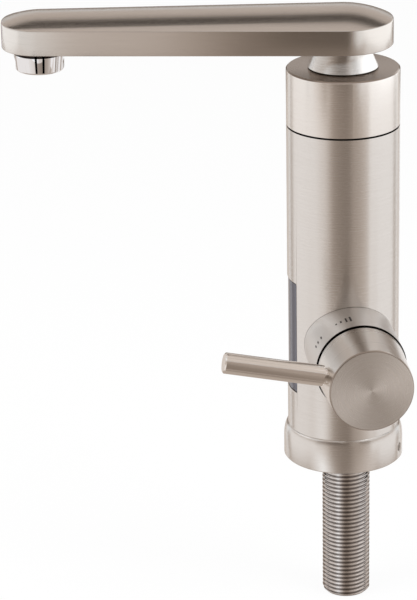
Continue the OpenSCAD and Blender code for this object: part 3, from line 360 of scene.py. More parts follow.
def smoked_lens():
    """Grey glass in front of a dark display, with painted shadow round its border from the window's
    recess.
    """
    finish = Finish("lens")
    haze = finish.noise(finish.place((60, 60, 9)), 1, 2)
    tint = finish.mix(haze, linear(92, 92, 102), linear(106, 106, 116))
    x, _, z = finish.parts((0, 0, (lens_low.z + lens_high.z) / 2))
    # Painted shadow round the lens's border, where the window's recess shades it
    side = x.math("ABSOLUTE") > lens_high.x - LENS_SHADOW_BORDER
    end = z.math("ABSOLUTE") > (lens_high.z - lens_low.z) / 2 - LENS_SHADOW_BORDER
    tint = finish.mix(side.math("MAXIMUM", end), tint, linear(34, 31, 33))
    return finish.shade(Base_Color=tint, Roughness=haze * 0.05 + 0.1, IOR=1.5)


def insulated_wires():
    """Brown, blue and green wires side by side."""
    finish = Finish("wires")
    x = finish.parts()[0]
    spots = finish.noise(finish.place(), 700, 2)
    first = finish.mix(x > WIRE_HALF_GAP, linear(40, 120, 62), linear(44, 84, 160))
    colour = finish.mix(x < -WIRE_HALF_GAP, first, linear(112, 66, 36))
    return finish.shade(Base_Color=colour, Roughness=spots * 0.1 + 0.35)


def circuit_board():
    """Green lacquer with paler tracks in a small grid."""
    finish = Finish("board")
    tracks = finish.node("ShaderNodeTexBrick", {"offset": 0.3}, {
        "Vector": finish.place((420, 420, 420)),
        "Color1": linear(22, 84, 52), "Color2": linear(28, 96, 60),
        "Mortar": linear(74, 132, 88), "Mortar Size": 0.03}).out("Color")
    grain = finish.noise(finish.place(), 500, 2)
    return finish.shade(Base_Color=tracks, Roughness=grain * 0.15 + 0.25,
                        Normal=finish.bump(grain, 0.1, 0.03 * MM))


# Finishes of the record's material slots
ROUND_BRUSHED = {"spread": 0.6, "rotation": 0.25}
finishes = {
    "brushed_body": brushed_steel("steel_brushed_body", BRIGHT, SHADE, (0, 0, 1), **ROUND_BRUSHED),
    "brushed_spout": brushed_steel("steel_brushed_spout", (224, 219, 214), (200, 195, 190),
                                   (0, 0, 1), roughness=0.24, turn=(0, 0, -spout_turn)),
    "turned_hub": turned_steel("steel_turned", (255, 252, 249), (206, 200, 194), (0, 0, valve_z)),
    "chrome": chrome(),
    "thread_steel": thread_steel(),
    "brass": plain("brass", (204, 168, 98), 0.32, 1.0, 0.12, 500),
    "rubber": plain("rubber", (34, 34, 36), 0.7, 0.0, 0.3),
    "screw_steel": plain("steel_screw", (168, 168, 170), 0.34, 1.0, 0.12, 900),
    "dark_steel": plain("steel_blackened", (62, 62, 64), 0.42, 1.0, 0.2, 900),
    "lens": smoked_lens(),
    "dark_plastic": plain("plastic_dark", (40, 40, 43), 0.5, 0.0, 0.2),
    "grey_plastic": plain("plastic_grey", (124, 126, 129), 0.5),
    "white_plastic": plain("plastic_white", (226, 223, 215), 0.45, 0.0, 0.05),
    "blue_plastic": plain("plastic_blue", (44, 98, 168), 0.4),
    "board": circuit_board(),
    "ceramic": plain("ceramic", (242, 241, 236), 0.15, 0.0, 0.03),
    "wires": insulated_wires(),
    "tank_steel": plain("steel_tank", (198, 199, 202), 0.36, 1.0, 0.12, 300),
    "element": plain("steel_element", (176, 148, 126), 0.38, 1.0, 0.25, 260),
}
for part in record["subparts"]:
    slots = node[part["node"]].data.materials
    slots.clear()
    slots.append(finishes[part["material_slot"]])

# The collar has painted shade where it meets the body and painted shadow at its end by the hub
collar_steel = brushed_steel("steel_brushed_collar", BRIGHT, SHADE, (1, 0, 0), roughness=0.42,
                             joint=body_r + JOINT_EDGE)
node["valve_collar"].data.materials[0] = collar_steel
# The cap's top edge has a painted dark reflection
cap_steel = brushed_steel("steel_brushed_cap", (250, 248, 246), (234, 230, 226), (0, 0, 1),
                          rim=cap_high.z - RIM_EDGE, **ROUND_BRUSHED)
node["cap_shell"].data.materials[0] = cap_steel
rod_steel = brushed_steel("steel_brushed_rod", (252, 249, 246), (232, 227, 222), (1, 0, 1),
                          roughness=0.2, turn=(ROD_RISE, 0, 0))
node["lever_rod"].data.materials[0] = rod_steel
neck_steel = brushed_steel("steel_brushed_neck", BRIGHT, SHADE, (0, 0, 1))
# Black plastic rings, darkened further and made dull as painted shadow in the groove below the cap
# and in the collar's gap
ring_painted_shadow = plain("plastic_black_painted_shadow", (10, 9, 9), 0.85, IOR=1.05)
for name in ("groove_ring", "collar_ring"):
    node[name].data.materials[0] = ring_painted_shadow


# Modelling helpers
TURNED_SIDES = 128
HULL_SIDES = 96
ROD_SIDES = 64
FLAT_ANGLE = math.radians(0.05)


def edit():
    bpy.ops.object.mode_set(mode="EDIT")
    bpy.ops.mesh.select_mode(type="VERT")
    bpy.ops.mesh.select_all(action="SELECT")


def leave():
    bpy.ops.object.mode_set(mode="OBJECT")
    return bpy.context.active_object


def choose(kind, wanted):
    """Selects the points, edges or faces, VERT, EDGE or FACE, that pass a test."""
    bpy.ops.mesh.select_mode(type=kind)
    bpy.ops.mesh.select_all(action="DESELECT")
    mesh = bmesh.from_edit_mesh(bpy.context.edit_object.data)
    for item in {"VERT": mesh.verts, "EDGE": mesh.edges, "FACE": mesh.faces}[kind]:
        if wanted(item):
            item.select_set(True)
    bmesh.update_edit_mesh(bpy.context.edit_object.data)


def level_with(edge, height):
    return all(abs(vertex.co.z - height) < NEAR for vertex in edge.verts)


def close_form():
    """Merges what coincides and turns all faces outwards."""
    bpy.ops.mesh.select_all(action="SELECT")
    bpy.ops.mesh.remove_doubles(threshold=MERGE)
    bpy.ops.mesh.normals_make_consistent(inside=False)


def turned(outline, sides=TURNED_SIDES):
    """Turns an outline of (radius, height) round Z, ring by ring: one that ends where it
    begins makes a ring, and any other is closed flat at both ends."""
    (radius, height), *rest = outline
    bpy.ops.mesh.primitive_circle_add(vertices=sides, radius=radius, location=(0, 0, 0),
                                      fill_type="NOTHING")
    edit()
    bpy.ops.transform.translate(value=(0, 0, height))
    for next_radius, next_height in rest:
        bpy.ops.mesh.extrude_edges_move()
        bpy.ops.transform.translate(value=(0, 0, next_height - height))
        growth = next_radius / radius
        bpy.ops.transform.resize(value=(growth, growth, 1), center_override=(0, 0, next_height))
        radius, height = next_radius, next_height
    if outline[0] != outline[-1]:
        bpy.ops.mesh.edge_face_add()
        choose("EDGE", lambda edge: edge.is_boundary and level_with(edge, outline[0][1]))
        bpy.ops.mesh.edge_face_add()
    close_form()
    return leave()


def hulled(discs):
    """A closed form stretched over discs of (x, y, z, radius)."""
    made = []
    for x, y, z, radius in discs:
        bpy.ops.mesh.primitive_circle_add(vertices=HULL_SIDES, radius=radius, location=(x, y, z))
        made.append(bpy.context.active_object)
    for piece in made:
        piece.select_set(True)
    bpy.ops.object.join()
    bpy.ops.object.transform_apply(location=True)
    edit()
    bpy.ops.mesh.convex_hull(join_triangles=False)
    bpy.ops.mesh.select_all(action="SELECT")
    bpy.ops.mesh.dissolve_limited(angle_limit=FLAT_ANGLE)
    close_form()
    return leave()


def block(low, high):
    """A block between two corners, from which cutters are made."""
    bpy.ops.mesh.primitive_cube_add(size=1, location=(low + high) / 2)
    piece = bpy.context.active_object
    piece.scale = high - low
    bpy.ops.object.transform_apply(location=True, scale=True)
    return piece


def rod(radius, start, end, sides=ROD_SIDES):
    """A round bar from one point to another."""
    line = Vector(end) - Vector(start)
    bpy.ops.mesh.primitive_cylinder_add(vertices=sides, radius=radius, depth=line.length)
    piece = bpy.context.active_object
    turn = line.to_track_quat("Z", "Y").to_matrix().to_4x4()
    piece.matrix_world = Matrix.Translation((Vector(start) + Vector(end)) / 2) @ turn
    bpy.ops.object.transform_apply(location=True, rotation=True)
    return piece


def activate(piece):
    bpy.ops.object.select_all(action="DESELECT")
    bpy.context.view_layer.objects.active = piece
    piece.select_set(True)


def modify(piece, kind, **settings):
    """Adds a modifier and applies it."""
    activate(piece)
    modifier = piece.modifiers.new(kind.lower(), kind)
    for name, value in settings.items():
        setattr(modifier, name, value)
    bpy.ops.object.modifier_apply(modifier=modifier.name)


def soften(piece, width, segments, sharp):
    """Bevels the edges that turn by more than an angle in degrees."""
    modify(piece, "BEVEL", width=width, segments=segments, limit_method="ANGLE",
           angle_limit=math.radians(sharp))


def combine(piece, operation, *others):
    """Cuts others out of a piece, joins them to it or keeps what they share with it."""
    for other in others:
        modify(piece, "BOOLEAN", operation=operation, object=other, solver="EXACT")
        bpy.data.objects.remove(other, do_unlink=True)


def settle(piece, matrix):
    """Moves a piece and writes its place into its mesh."""
    activate(piece)
    piece.matrix_world = matrix
    bpy.ops.object.transform_apply(location=True, rotation=True, scale=True)


def complete(piece, name, body, slot, replaced=(), smooth=30, material=None):
    """Names, smooths and finishes a piece, and fixes it to the body that it moves with."""
    activate(piece)
    piece.name = name
    piece.data.name = name
    bpy.ops.object.shade_smooth_by_angle(angle=math.radians(smooth))
    piece.data.materials.clear()
    piece.data.materials.append(material or finishes[slot])
    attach(piece, body)
    if replaced:
        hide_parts(*replaced)
    bpy.ops.object.select_all(action="DESELECT")


def spout_place():
    return Matrix.Rotation(spout_turn, 4, "Z")


# Spout: a flat form with vertical sides, a rounded bright rim and a domed top
SPOUT_END_R = 25.8 * MM
TIP_HALF_W = 21.0 * MM
TIP_CORNER_R = 19.5 * MM
SPOUT_LEN = 174.5 * MM
DOME_R = 56.0 * MM
SPOUT_WALL = 1.5 * MM
COVER_T = 1.2 * MM
RIM_R = 0.8 * MM
EDGE = 0.4 * MM
RIM_STEPS = 5
DOME_STEPS = 18
DOME_SPAN = DOME_STEPS + 0.4
spout_z = tray_low.z
rim_z = tray_high.z
rim_slope = math.asin(SPOUT_END_R / DOME_R)
rim_turn = math.pi / 2 - rim_slope
rim_start = (rim_z + RIM_R * (1 - math.cos(rim_turn)) * math.tan(rim_slope)
             - RIM_R * math.sin(rim_turn))


def spout_discs(inset, body_z, tip_z, share=1.0):
    """Three discs, one at the body end and two at the tip, that the outline goes round."""
    corner = (TIP_CORNER_R - inset) * share
    tip = SPOUT_LEN - inset - (TIP_HALF_W - inset) * (1 - share) - corner
    side = (TIP_HALF_W - TIP_CORNER_R) * share
    return [(0, 0, body_z, (SPOUT_END_R - inset) * share),
            (tip, side, tip_z, corner), (tip, -side, tip_z, corner)]


def dome_rise(half_width, share):
    return (math.sqrt(DOME_R ** 2 - (half_width * share) ** 2)
            - math.sqrt(DOME_R ** 2 - half_width ** 2))


def dome_form(inset):
    """The domed form with its rounded rim, drawn in and lowered by inset."""
    low = rim_start - OVERRUN * (inset > 0)
    discs = spout_discs(inset, low, low)
    for step in range(RIM_STEPS + 1):
        angle = rim_turn * step / RIM_STEPS
        level = rim_start - inset + RIM_R * math.sin(angle)
        discs += spout_discs(inset + RIM_R * (1 - math.cos(angle)), level, level)
    for step in range(1, DOME_STEPS + 1):
        share = math.cos(math.pi / 2 * step / DOME_SPAN)
        if (1 - share) * TIP_HALF_W > RIM_R:
            discs += spout_discs(inset, rim_z - inset + dome_rise(SPOUT_END_R, share),
                                 rim_z - inset + dome_rise(TIP_HALF_W, share), share)
    return hulled(discs)


def add_spout():
    tray = hulled(spout_discs(0, spout_z, spout_z) + spout_discs(0, rim_start, rim_start))
    activate(tray)
    edit()
    choose("EDGE", lambda edge: level_with(edge, spout_z))
    bpy.ops.mesh.bevel(offset=EDGE, segments=3, affect="EDGES")
    leave()
    floor_z = spout_z + SPOUT_WALL
    room = hulled(spout_discs(SPOUT_WALL, floor_z, floor_z)
                  + spout_discs(SPOUT_WALL, rim_start + OVERRUN, rim_start + OVERRUN))
    under, over = spout_z - OVERRUN, floor_z + OVERRUN
    tail_hole = rod(NECK_BORE_R, (0, 0, under), (0, 0, over))
    outlet_hole = rod(SLEEVE_BORE_R, (outlet_x, 0, under), (outlet_x, 0, over))
    combine(tray, "DIFFERENCE", room, tail_hole, outlet_hole)
    settle(tray, spout_place())
    complete(tray, "spout_side", "spout", "brushed_spout", ["spout_tray"])
    cover = dome_form(0)
    combine(cover, "DIFFERENCE", dome_form(COVER_T))
    settle(cover, spout_place())
    complete(cover, "spout_top", "spout", "brushed_spout", ["spout_cover"], smooth=24)


# Neck under the spout, which narrows upwards
NECK_LOW_R = 18.2 * MM
NECK_HIGH_R = 13.2 * MM
NECK_BORE_R = 10.1 * MM


def add_neck():
    low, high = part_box("spout_neck")
    neck = turned([(NECK_LOW_R - EDGE, low.z), (NECK_LOW_R, low.z + EDGE), (NECK_HIGH_R, high.z),
                   (NECK_BORE_R, high.z), (NECK_BORE_R, low.z), (NECK_LOW_R - EDGE, low.z)])
    complete(neck, "neck_turned", "spout", "brushed_spout", ["spout_neck"], material=neck_steel)


# Aerator sleeve with two spanner flats that end in a round
SLEEVE_R = 13.4 * MM
SLEEVE_LOW_R = 12.6 * MM
SLEEVE_BORE_R = 11.7 * MM
SLEEVE_MOUTH_R = 10.3 * MM
SLEEVE_EDGE = 0.9 * MM
SLEEVE_LIP = 2.4 * MM
SLEEVE_BEVEL = 0.15 * MM
SLEEVE_SIDES = 160
FLATS = 24.4 * MM
FLAT_R = 5.0 * MM
FLAT_RISE = 7.6 * MM


def add_aerator():
    low, high = outlet_low.z, outlet_high.z
    sleeve = turned([
        (SLEEVE_MOUTH_R, low), (SLEEVE_LOW_R - SLEEVE_EDGE, low), (SLEEVE_LOW_R, low + SLEEVE_EDGE),
        (SLEEVE_R, high - SLEEVE_EDGE), (SLEEVE_R - SLEEVE_EDGE / 2, high), (SLEEVE_BORE_R, high),
        (SLEEVE_BORE_R, low + SLEEVE_LIP), (SLEEVE_MOUTH_R, low + SLEEVE_LIP),
        (SLEEVE_MOUTH_R, low)], sides=SLEEVE_SIDES)
    arch_z = low + FLAT_RISE - FLAT_R
    for side in (-1, 1):
        near, far = side * FLATS / 2, side * (SLEEVE_R + OVERRUN)
        arch = rod(FLAT_R, (near, 0, arch_z), (far, 0, arch_z))
        foot = block(Vector((min(near, far), -FLAT_R, low - OVERRUN)),
                     Vector((max(near, far), FLAT_R, arch_z)))
        combine(sleeve, "DIFFERENCE", arch, foot)
    soften(sleeve, SLEEVE_BEVEL, 2, 35)
    settle(sleeve, spout_place() @ Matrix.Translation((outlet_x, 0, 0)))
    complete(sleeve, "aerator_sleeve", "spout", "chrome", ["aerator_collar"])


# Body tube with the window, whose cut edge is bevelled and catches the light
SHELL_WALL = 1.5 * MM
WINDOW_GAP = 0.15 * MM
WINDOW_CORNER = 1.0 * MM
WINDOW_EDGE = 0.35 * MM
WINDOW_NEAR = 0.4 * WINDOW_CORNER
SKIN_NEAR = 0.03 * MM
PORT_R = 18.7 * MM
PORT_SIDES = 96
BODY_SIDES = 240


def add_body():
    low, high = body_low.z, body_high.z
    tube = turned([(body_r, low), (body_r, high), (body_r - SHELL_WALL, high),
                   (body_r - SHELL_WALL, low), (body_r, low)], sides=BODY_SIDES)
    window = block(Vector((lens_low.x - WINDOW_GAP, -body_r - OVERRUN, lens_low.z - WINDOW_GAP)),
                   Vector((lens_high.x + WINDOW_GAP, 0, lens_high.z + WINDOW_GAP)))
    edit()
    choose("EDGE", lambda edge: abs(edge.verts[0].co.y - edge.verts[1].co.y) > OVERRUN)
    bpy.ops.mesh.bevel(offset=WINDOW_CORNER, segments=4, affect="EDGES")
    leave()
    port = rod(PORT_R, (0, 0, valve_z), (body_r + OVERRUN, 0, valve_z), PORT_SIDES)
    combine(tube, "DIFFERENCE", window, port)
    activate(tube)
    edit()
    half_w = lens_high.x + WINDOW_GAP
    window_low, window_high = lens_low.z - WINDOW_GAP, lens_high.z + WINDOW_GAP

    def on_window_edge(edge):
        middle = (edge.verts[0].co + edge.verts[1].co) / 2
        outside = all(v.co.xy.length > body_r - SKIN_NEAR for v in edge.verts)
        near_side = abs(abs(middle.x) - half_w) < WINDOW_NEAR
        near_end = min(abs(middle.z - window_low), abs(middle.z - window_high)) < WINDOW_NEAR
        within = (middle.y < 0 and abs(middle.x) < half_w + NEAR
                  and window_low - NEAR < middle.z < window_high + NEAR)
        sharp = edge.calc_face_angle(0) > math.radians(40)
        return outside and within and sharp and (near_side or near_end)

    choose("EDGE", on_window_edge)
    bpy.ops.mesh.bevel(offset=WINDOW_EDGE, segments=2, affect="EDGES")
    leave()
    modify(tube, "WEIGHTED_NORMAL", keep_sharp=True, weight=100)
    complete(tube, "body_tube", "body", "brushed_body", ["body_shell"])


# Foot with its soft shoulder and the hole of its set screw
FOOT_EDGE = 0.6 * MM
FOOT_BEVEL = 0.12 * MM
FOOT_SIDES = 200
FOOT_SIDE_TOP = 9.9 * MM
FOOT_TOP = 18.3 * MM
FOOT_BORE_R = 24.9 * MM
GASKET_T = 1.0 * MM
GASKET_STEP = 1.5 * MM
SPIGOT_R = body_r - 1.6 * MM
SPIGOT_WALL = 2.0 * MM
LEDGE_R = 20.3 * MM
LEDGE_LOW = 9.4 * MM
LEDGE_HIGH = 12.4 * MM
SHOULDER_STEPS = 16
SCREW_Z = 7.0 * MM
SCREW_R = 2.35 * MM
SCREW_START = 0.95 * FOOT_BORE_R
SCREW_ANGLE = math.radians(61)


def add_foot():
    foot_r = foot_high.x
    shoulder = [(foot_r - (foot_r - body_r) * (1 - math.cos(t)),
                 FOOT_SIDE_TOP + (FOOT_TOP - FOOT_SIDE_TOP) * math.sin(t))
                for t in [math.pi / 2 * i / SHOULDER_STEPS for i in range(SHOULDER_STEPS + 1)]]
    outline = [(foot_r - FOOT_EDGE, foot_low.z), (foot_r, foot_low.z + FOOT_EDGE), *shoulder,
               (SPIGOT_R, FOOT_TOP), (SPIGOT_R, foot_high.z), (SPIGOT_R - SPIGOT_WALL, foot_high.z),
               (SPIGOT_R - SPIGOT_WALL, LEDGE_HIGH), (LEDGE_R, LEDGE_HIGH), (LEDGE_R, LEDGE_LOW),
               (FOOT_BORE_R, LEDGE_LOW), (FOOT_BORE_R, GASKET_T),
               (foot_r - GASKET_STEP, GASKET_T), (foot_r - GASKET_STEP, foot_low.z)]
    foot = turned([*outline, outline[0]], sides=FOOT_SIDES)
    side = Vector((math.cos(SCREW_ANGLE), math.sin(SCREW_ANGLE), 0))
    up = Vector((0, 0, SCREW_Z))
    hole = rod(SCREW_R, side * SCREW_START + up, side * (foot_r + OVERRUN) + up)
    combine(foot, "DIFFERENCE", hole)
    soften(foot, FOOT_BEVEL, 2, 40)
    complete(foot, "foot_turned", "body", "brushed_body", ["foot_ring"])


# Shank: a single-start thread wound by a Screw modifier, with a chamfered end and a flange
PITCH = 2.29 * MM
CREST_SHARE = 0.18
ROOT_SHARE = 0.22
BORE_R = 8.0 * MM
SOCKET_R = 7.5 * MM
SOCKET_LOW = -4.6 * MM
GLAND_Y = -17.8 * MM
GLAND_R = 5.6 * MM
FLANGE_R = 24.8 * MM
FLANGE_SIDES = 96
RELIEF = 1.6 * MM
CHAMFER = 1.6 * MM
THREAD_STEPS = 72


def add_shank():
    low, top = shank_low.z, shank_high.z
    turns = math.ceil((GASKET_T - low) / PITCH) + 2
    root_r = SHANK_R - THREAD_DEPTH
    flank = (1 - CREST_SHARE - ROOT_SHARE) / 2
    steps = [(0, ROOT_SHARE / 2), (THREAD_DEPTH, flank), (0, CREST_SHARE), (-THREAD_DEPTH, flank),
             (0, ROOT_SHARE / 2)]
    bpy.ops.mesh.primitive_plane_add(size=MM)
    edit()
    bpy.ops.mesh.merge(type="CENTER")
    bpy.ops.transform.translate(value=(root_r, 0, low - PITCH))
    for out, share in steps:
        bpy.ops.mesh.extrude_vertices_move()
        bpy.ops.transform.translate(value=(out, 0, share * PITCH))
    thread = leave()
    modify(thread, "SCREW", screw_offset=PITCH, iterations=turns, steps=THREAD_STEPS,
           render_steps=THREAD_STEPS, use_merge_vertices=True, merge_threshold=MERGE / 2,
           use_smooth_shade=False)
    activate(thread)
    edit()
    bpy.ops.mesh.remove_doubles(threshold=MERGE)
    bpy.ops.mesh.bisect(plane_co=(0, 0, low), plane_no=(0, 0, 1), use_fill=True, clear_inner=True,
                        threshold=MERGE)
    bpy.ops.mesh.select_all(action="SELECT")
    bpy.ops.mesh.bisect(plane_co=(0, 0, -RELIEF / 2), plane_no=(0, 0, 1), use_fill=True,
                        clear_outer=True, threshold=MERGE)
    close_form()
    leave()
    end_r = SHANK_R - CHAMFER
    keep = turned([(end_r - MM, low - MM), (SHANK_R + MM, low + CHAMFER + MM), (SHANK_R + MM, 0)])
    combine(thread, "INTERSECT", keep)
    combine(thread, "UNION", turned([(end_r, -2 * RELIEF), (end_r, GASKET_T + MM)]))
    settle(thread, Matrix.Translation((0, SHANK_Y, 0)))
    flange = turned([(FLANGE_R, GASKET_T), (FLANGE_R, top)], sides=FLANGE_SIDES)
    combine(thread, "UNION", flange)
    bore = rod(BORE_R, (0, SHANK_Y, low - OVERRUN), (0, SHANK_Y, SOCKET_LOW))
    socket = rod(SOCKET_R, (0, SHANK_Y, SOCKET_LOW - MM), (0, SHANK_Y, top + OVERRUN))
    gland = rod(GLAND_R, (0, GLAND_Y, 0), (0, GLAND_Y, top + OVERRUN))
    combine(thread, "DIFFERENCE", bore, socket, gland)
    complete(thread, "shank_threaded", "body", "thread_steel", ["shank"], smooth=25)


# Scale on the collar: bars along its axis, longer towards the top. Each has an angle from the
# top towards -Y, a length and a width, in degrees and millimetres.
MARK_X = 45.0 * MM
MARKS = [(9.5, 6.3, 1.0), (15, 5.3, 0.95), (22, 2.4, 0.95), (28.5, 1.6, 0.9),
         (54, 2.8, 0.9), (61, 2.8, 0.9), (67, 2.8, 0.9)]
MARK_T = 0.2 * MM
MARK_RAISE = 0.03 * MM
MARK_BEVEL = 0.05 * MM


def mark_place(angle):
    """A place on the collar's surface, turned from the top towards -Y, with Z outward."""
    return (Matrix.Translation((MARK_X, 0, valve_z)) @ Matrix.Rotation(math.radians(angle), 4, "X")
            @ Matrix.Translation((0, 0, collar_r - MARK_T + MARK_RAISE)))


def add_marks():
    marks = []
    for angle, length, width in MARKS:
        corner = Vector((length, width, 0)) * MM / 2
        marks.append(block(-corner, corner + Vector((0, 0, MARK_T))))
        settle(marks[-1], mark_place(angle))
    for mark in marks:
        mark.select_set(True)
    bpy.ops.object.join()
    scale = bpy.context.active_object
    soften(scale, MARK_BEVEL, 1, 50)
    complete(scale, "scale_marks", "body", "dark_plastic",
             material=plain("mark_paint", (44, 40, 40), 0.6))


# Studio: a pale floor, a white room, two soft lamps, and grey cards that only reflections see
FLOOR_SIZE = 30
FLOOR_GREY = (0.9, 0.9, 0.9, 1)
FLOOR_GLOW = 1.04
FLOOR_GLOW_SHARE = 0.88
ROOM_SEEN = 1.0
ROOM_LIGHT = 0.6
MORE_RED = 0.3
LESS_BLUE = 0.22


def add_floor():
    bpy.ops.mesh.primitive_plane_add(size=FLOOR_SIZE, location=(0, 0, shank_low.z))
    floor = bpy.context.active_object
    floor.name = "floor"
    finish = Finish("floor")
    pale = finish.node("ShaderNodeBsdfDiffuse", {}, {"Color": FLOOR_GREY})
    white = finish.node("ShaderNodeEmission", {}, {"Color": (1, 1, 1, 1), "Strength": FLOOR_GLOW})
    share = finish.node("ShaderNodeLightPath").out("Is Camera Ray") * FLOOR_GLOW_SHARE
    mixed = finish.node("ShaderNodeMixShader", {}, (share, pale, white))
    floor.data.materials.append(finish.surface(mixed))
    floor.visible_glossy = False


def add_world():
    """A white room, dimmer as a light than as it is seen, directly or in reflections."""
    world = bpy.data.worlds.new("studio")
    bpy.context.scene.world = world
    finish = Finish("studio", world)
    rays = finish.node("ShaderNodeLightPath")
    seen = rays.out("Is Camera Ray").math("MAXIMUM", rays.out("Is Glossy Ray"))
    seen = seen.math("MAXIMUM", rays.out("Is Transmission Ray"))
    strength = seen * (ROOM_SEEN - ROOM_LIGHT) + ROOM_LIGHT
    glow = finish.node("ShaderNodeBackground", {}, {"Strength": strength})
    finish.node("ShaderNodeOutputWorld", {}, {"Surface": glow})


def warm(grey):
    """A grey that turns warmer as it gets darker."""
    warmth = max(0, 1 - grey)
    return (grey * (1 + MORE_RED * warmth), grey, grey * (1 - LESS_BLUE * warmth))


def glow_in_reflections(piece, finish, colour):
    """Makes a piece glow in a colour that only reflections see."""
    glow = finish.node("ShaderNodeEmission", {}, {"Color": colour, "Strength": 1.0})
    piece.data.materials.append(finish.surface(glow))
    piece.visible_camera = False
    piece.visible_diffuse = False
    piece.visible_shadow = False
    piece.visible_transmission = False


def add_card(name, azimuth, distance, low, high, stops, around=(0, 0)):
    """An upright card that only reflections see, facing a point: stops give its greys at
    distances to the right, as seen from beyond the card."""
    left, right = stops[0][0], stops[-1][0]
    angle = math.radians(azimuth)
    bpy.ops.mesh.primitive_plane_add(size=1)
    card = bpy.context.active_object
    card.name = name
    card.scale = (right - left, high - low, 1)
    card.location = ((left + right) / 2, (high + low) / 2, 0)
    bpy.ops.object.transform_apply(location=True, rotation=True, scale=True)
    card.matrix_world = (Matrix.Translation((*around, 0)) @ Matrix.Rotation(angle, 4, "Z")
                         @ Matrix.Translation((0, -distance, 0))
                         @ Matrix.Rotation(math.radians(90), 4, "X"))
    finish = Finish(name)
    share = (finish.parts()[0] - left) / (right - left)
    shades = [((x - left) / (right - left), warm(grey)) for x, grey in stops]
    grey = finish.node("ShaderNodeValToRGB", {"stops": shades}, (share,)).out("Color")
    glow_in_reflections(card, finish, grey)


def add_sheet(name, height, size, grey):
    """A level sheet that only reflections see."""
    bpy.ops.mesh.primitive_plane_add(size=size, location=(0, 0, height))
    sheet = bpy.context.active_object
    sheet.name = name
    glow_in_reflections(sheet, Finish(name), (*warm(grey), 1))


def add_lamp(name, azimuth, elevation, distance, size, power):
    data = bpy.data.lights.new(name, "AREA")
    data.shape = "SQUARE"
    data.size = size
    data.energy = power
    lamp = bpy.data.objects.new(name, data)
    bpy.context.scene.collection.objects.link(lamp)
    a, e = math.radians(azimuth), math.radians(elevation)
    place = distance * Vector((math.cos(e) * math.sin(a), -math.cos(e) * math.cos(a), math.sin(e)))
    lamp.location = place
    lamp.rotation_euler = (-place).to_track_quat("-Z", "Y").to_euler()
    lamp.visible_glossy = False


# Greys of the cards, each with its distance to the right in metres
FRONT_SHADES = [(-2.2, 0.8), (-0.9, 0.8), (-0.6, 0.74), (-0.42, 0.67), (-0.33, 0.53),
                (-0.26, 0.39), (-0.2, 0.29), (-0.05, 0.23), (0.1, 0.2), (0.16, 0.23),
                (0.21, 0.32), (0.35, 0.36), (0.55, 0.48), (0.8, 0.6), (1.2, 0.88), (2.2, 0.88)]
HIGH_SHADES = [(-2.2, 0.45), (-1.1, 0.35), (-0.5, 0.22), (-0.25, 0.13), (0.1, 0.13),
               (0.2, 0.36), (0.3, 0.36), (0.45, 0.22), (1.1, 0.2), (2.2, 0.45)]
SHANK_SHADES = [(-0.9, 0.8), (-0.42, 0.75), (-0.3, 0.9), (-0.2, 1.2), (-0.13, 0.8),
                (-0.06, 0.36), (0, 0.22), (0.05, 0.26), (0.14, 0.46), (0.32, 0.6), (0.9, 0.8)]
SPOUT_SHADES = [(-0.3, 1.0), (-0.165, 0.9), (-0.15, 0.64), (-0.13, 0.6), (-0.1, 0.56),
                (-0.08, 0.44), (-0.055, 0.27), (-0.03, 0.15), (-0.005, 0.125), (0.012, 0.115),
                (0.022, 0.11), (0.035, 0.35), (0.055, 1.0), (0.119, 1.4)]
BEHIND_SHADES = [(-0.6, 1.0), (-0.4, 0.6), (-0.28, 0.6), (-0.2, 1.0), (0, 1.0), (0.08, 0.6),
                 (0.4, 0.6), (0.6, 1.0)]
STRIP_SHADES = [(-0.005, 0.0), (0.005, 0.0)]

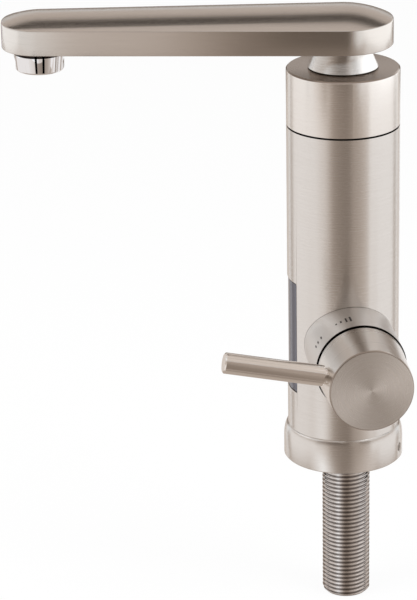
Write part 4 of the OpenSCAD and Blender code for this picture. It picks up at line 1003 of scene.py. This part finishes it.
# Cards: turn from the camera, distance, height of the lower and upper edges, and greys
CARDS = [
    ("front_card", 0, 0.6, -0.45, 0.12, FRONT_SHADES),
    ("high_card", 0, 0.6, 0.121, 0.6, HIGH_SHADES),
    ("shank_card", 0, 0.25, -0.4, -0.13, SHANK_SHADES),
    ("spout_card", 0, 0.1, 0.195, 0.26, SPOUT_SHADES),
    ("tip_card", 0, 0.1, 0.172, 0.1949, SPOUT_SHADES[:7]),
    ("root_card", 0, 0.1, 0.187, 0.1949, SPOUT_SHADES[-2:]),
    ("left_end_card", -90, 0.31, 0.16, 0.26, [(-0.15, 1.2), (0.099, 1.2)]),
    ("right_end_card", 90, 0.12, 0.183, 0.27, [(-0.099, 1.4), (0.2, 1.4)]),
    ("behind_card", 180, 0.6, -0.45, 0.02, BEHIND_SHADES),
    ("edge_card", 180, 0.6, 0.021, 0.3, [(-0.5, 0.2), (0.5, 0.2)]),
    ("wall_card", 180, 0.7, 0.4, 0.8, [(-0.9, 0.55), (0.9, 0.55)]),
    ("band_card", 180, 0.7, 0.801, 1.3, [(-0.9, 0.02), (0.9, 0.02)]),
    ("left_card", -90, 0.8, -0.45, 0.15, [(-0.5, 0.82), (0.6, 0.82)]),
    ("right_card", 90, 0.8, -0.45, 0.15, [(-0.6, 0.86), (0.5, 0.86)]),
    ("left_high_card", -90, 0.8, 0.151, 0.5, [(-0.5, 0.5), (0.6, 0.5)]),
    ("right_high_card", 90, 0.8, 0.151, 0.5, [(-0.6, 0.5), (0.5, 0.5)]),
]
# Strips that stand round the aerator sleeve, and lamps: turn from the camera
STRIPS = [("left_strip", -10.6), ("right_strip", 21)]
LAMPS = [("left_lamp", -60), ("right_lamp", 60)]

add_camera()
add_spout()
add_neck()
add_aerator()
add_body()
add_foot()
add_shank()
add_marks()
add_floor()
add_world()
for name, turn, distance, low, high, shades in CARDS:
    add_card(name, CAMERA_AZIMUTH + turn, distance, low, high, shades)
for name, turn in STRIPS:
    add_card(name, CAMERA_AZIMUTH + turn, distance=0.06, low=0.17, high=0.202,
             stops=STRIP_SHADES, around=outlet.xy)
add_sheet("ground_sheet", height=-0.46, size=4, grey=0.4)
add_sheet("ceiling_sheet", height=1.5, size=3, grey=0.6)
for name, turn in LAMPS:
    add_lamp(name, CAMERA_AZIMUTH + turn, elevation=40, distance=1.6, size=0.9, power=8)

scene = bpy.context.scene
scene.view_settings.view_transform = "Standard"
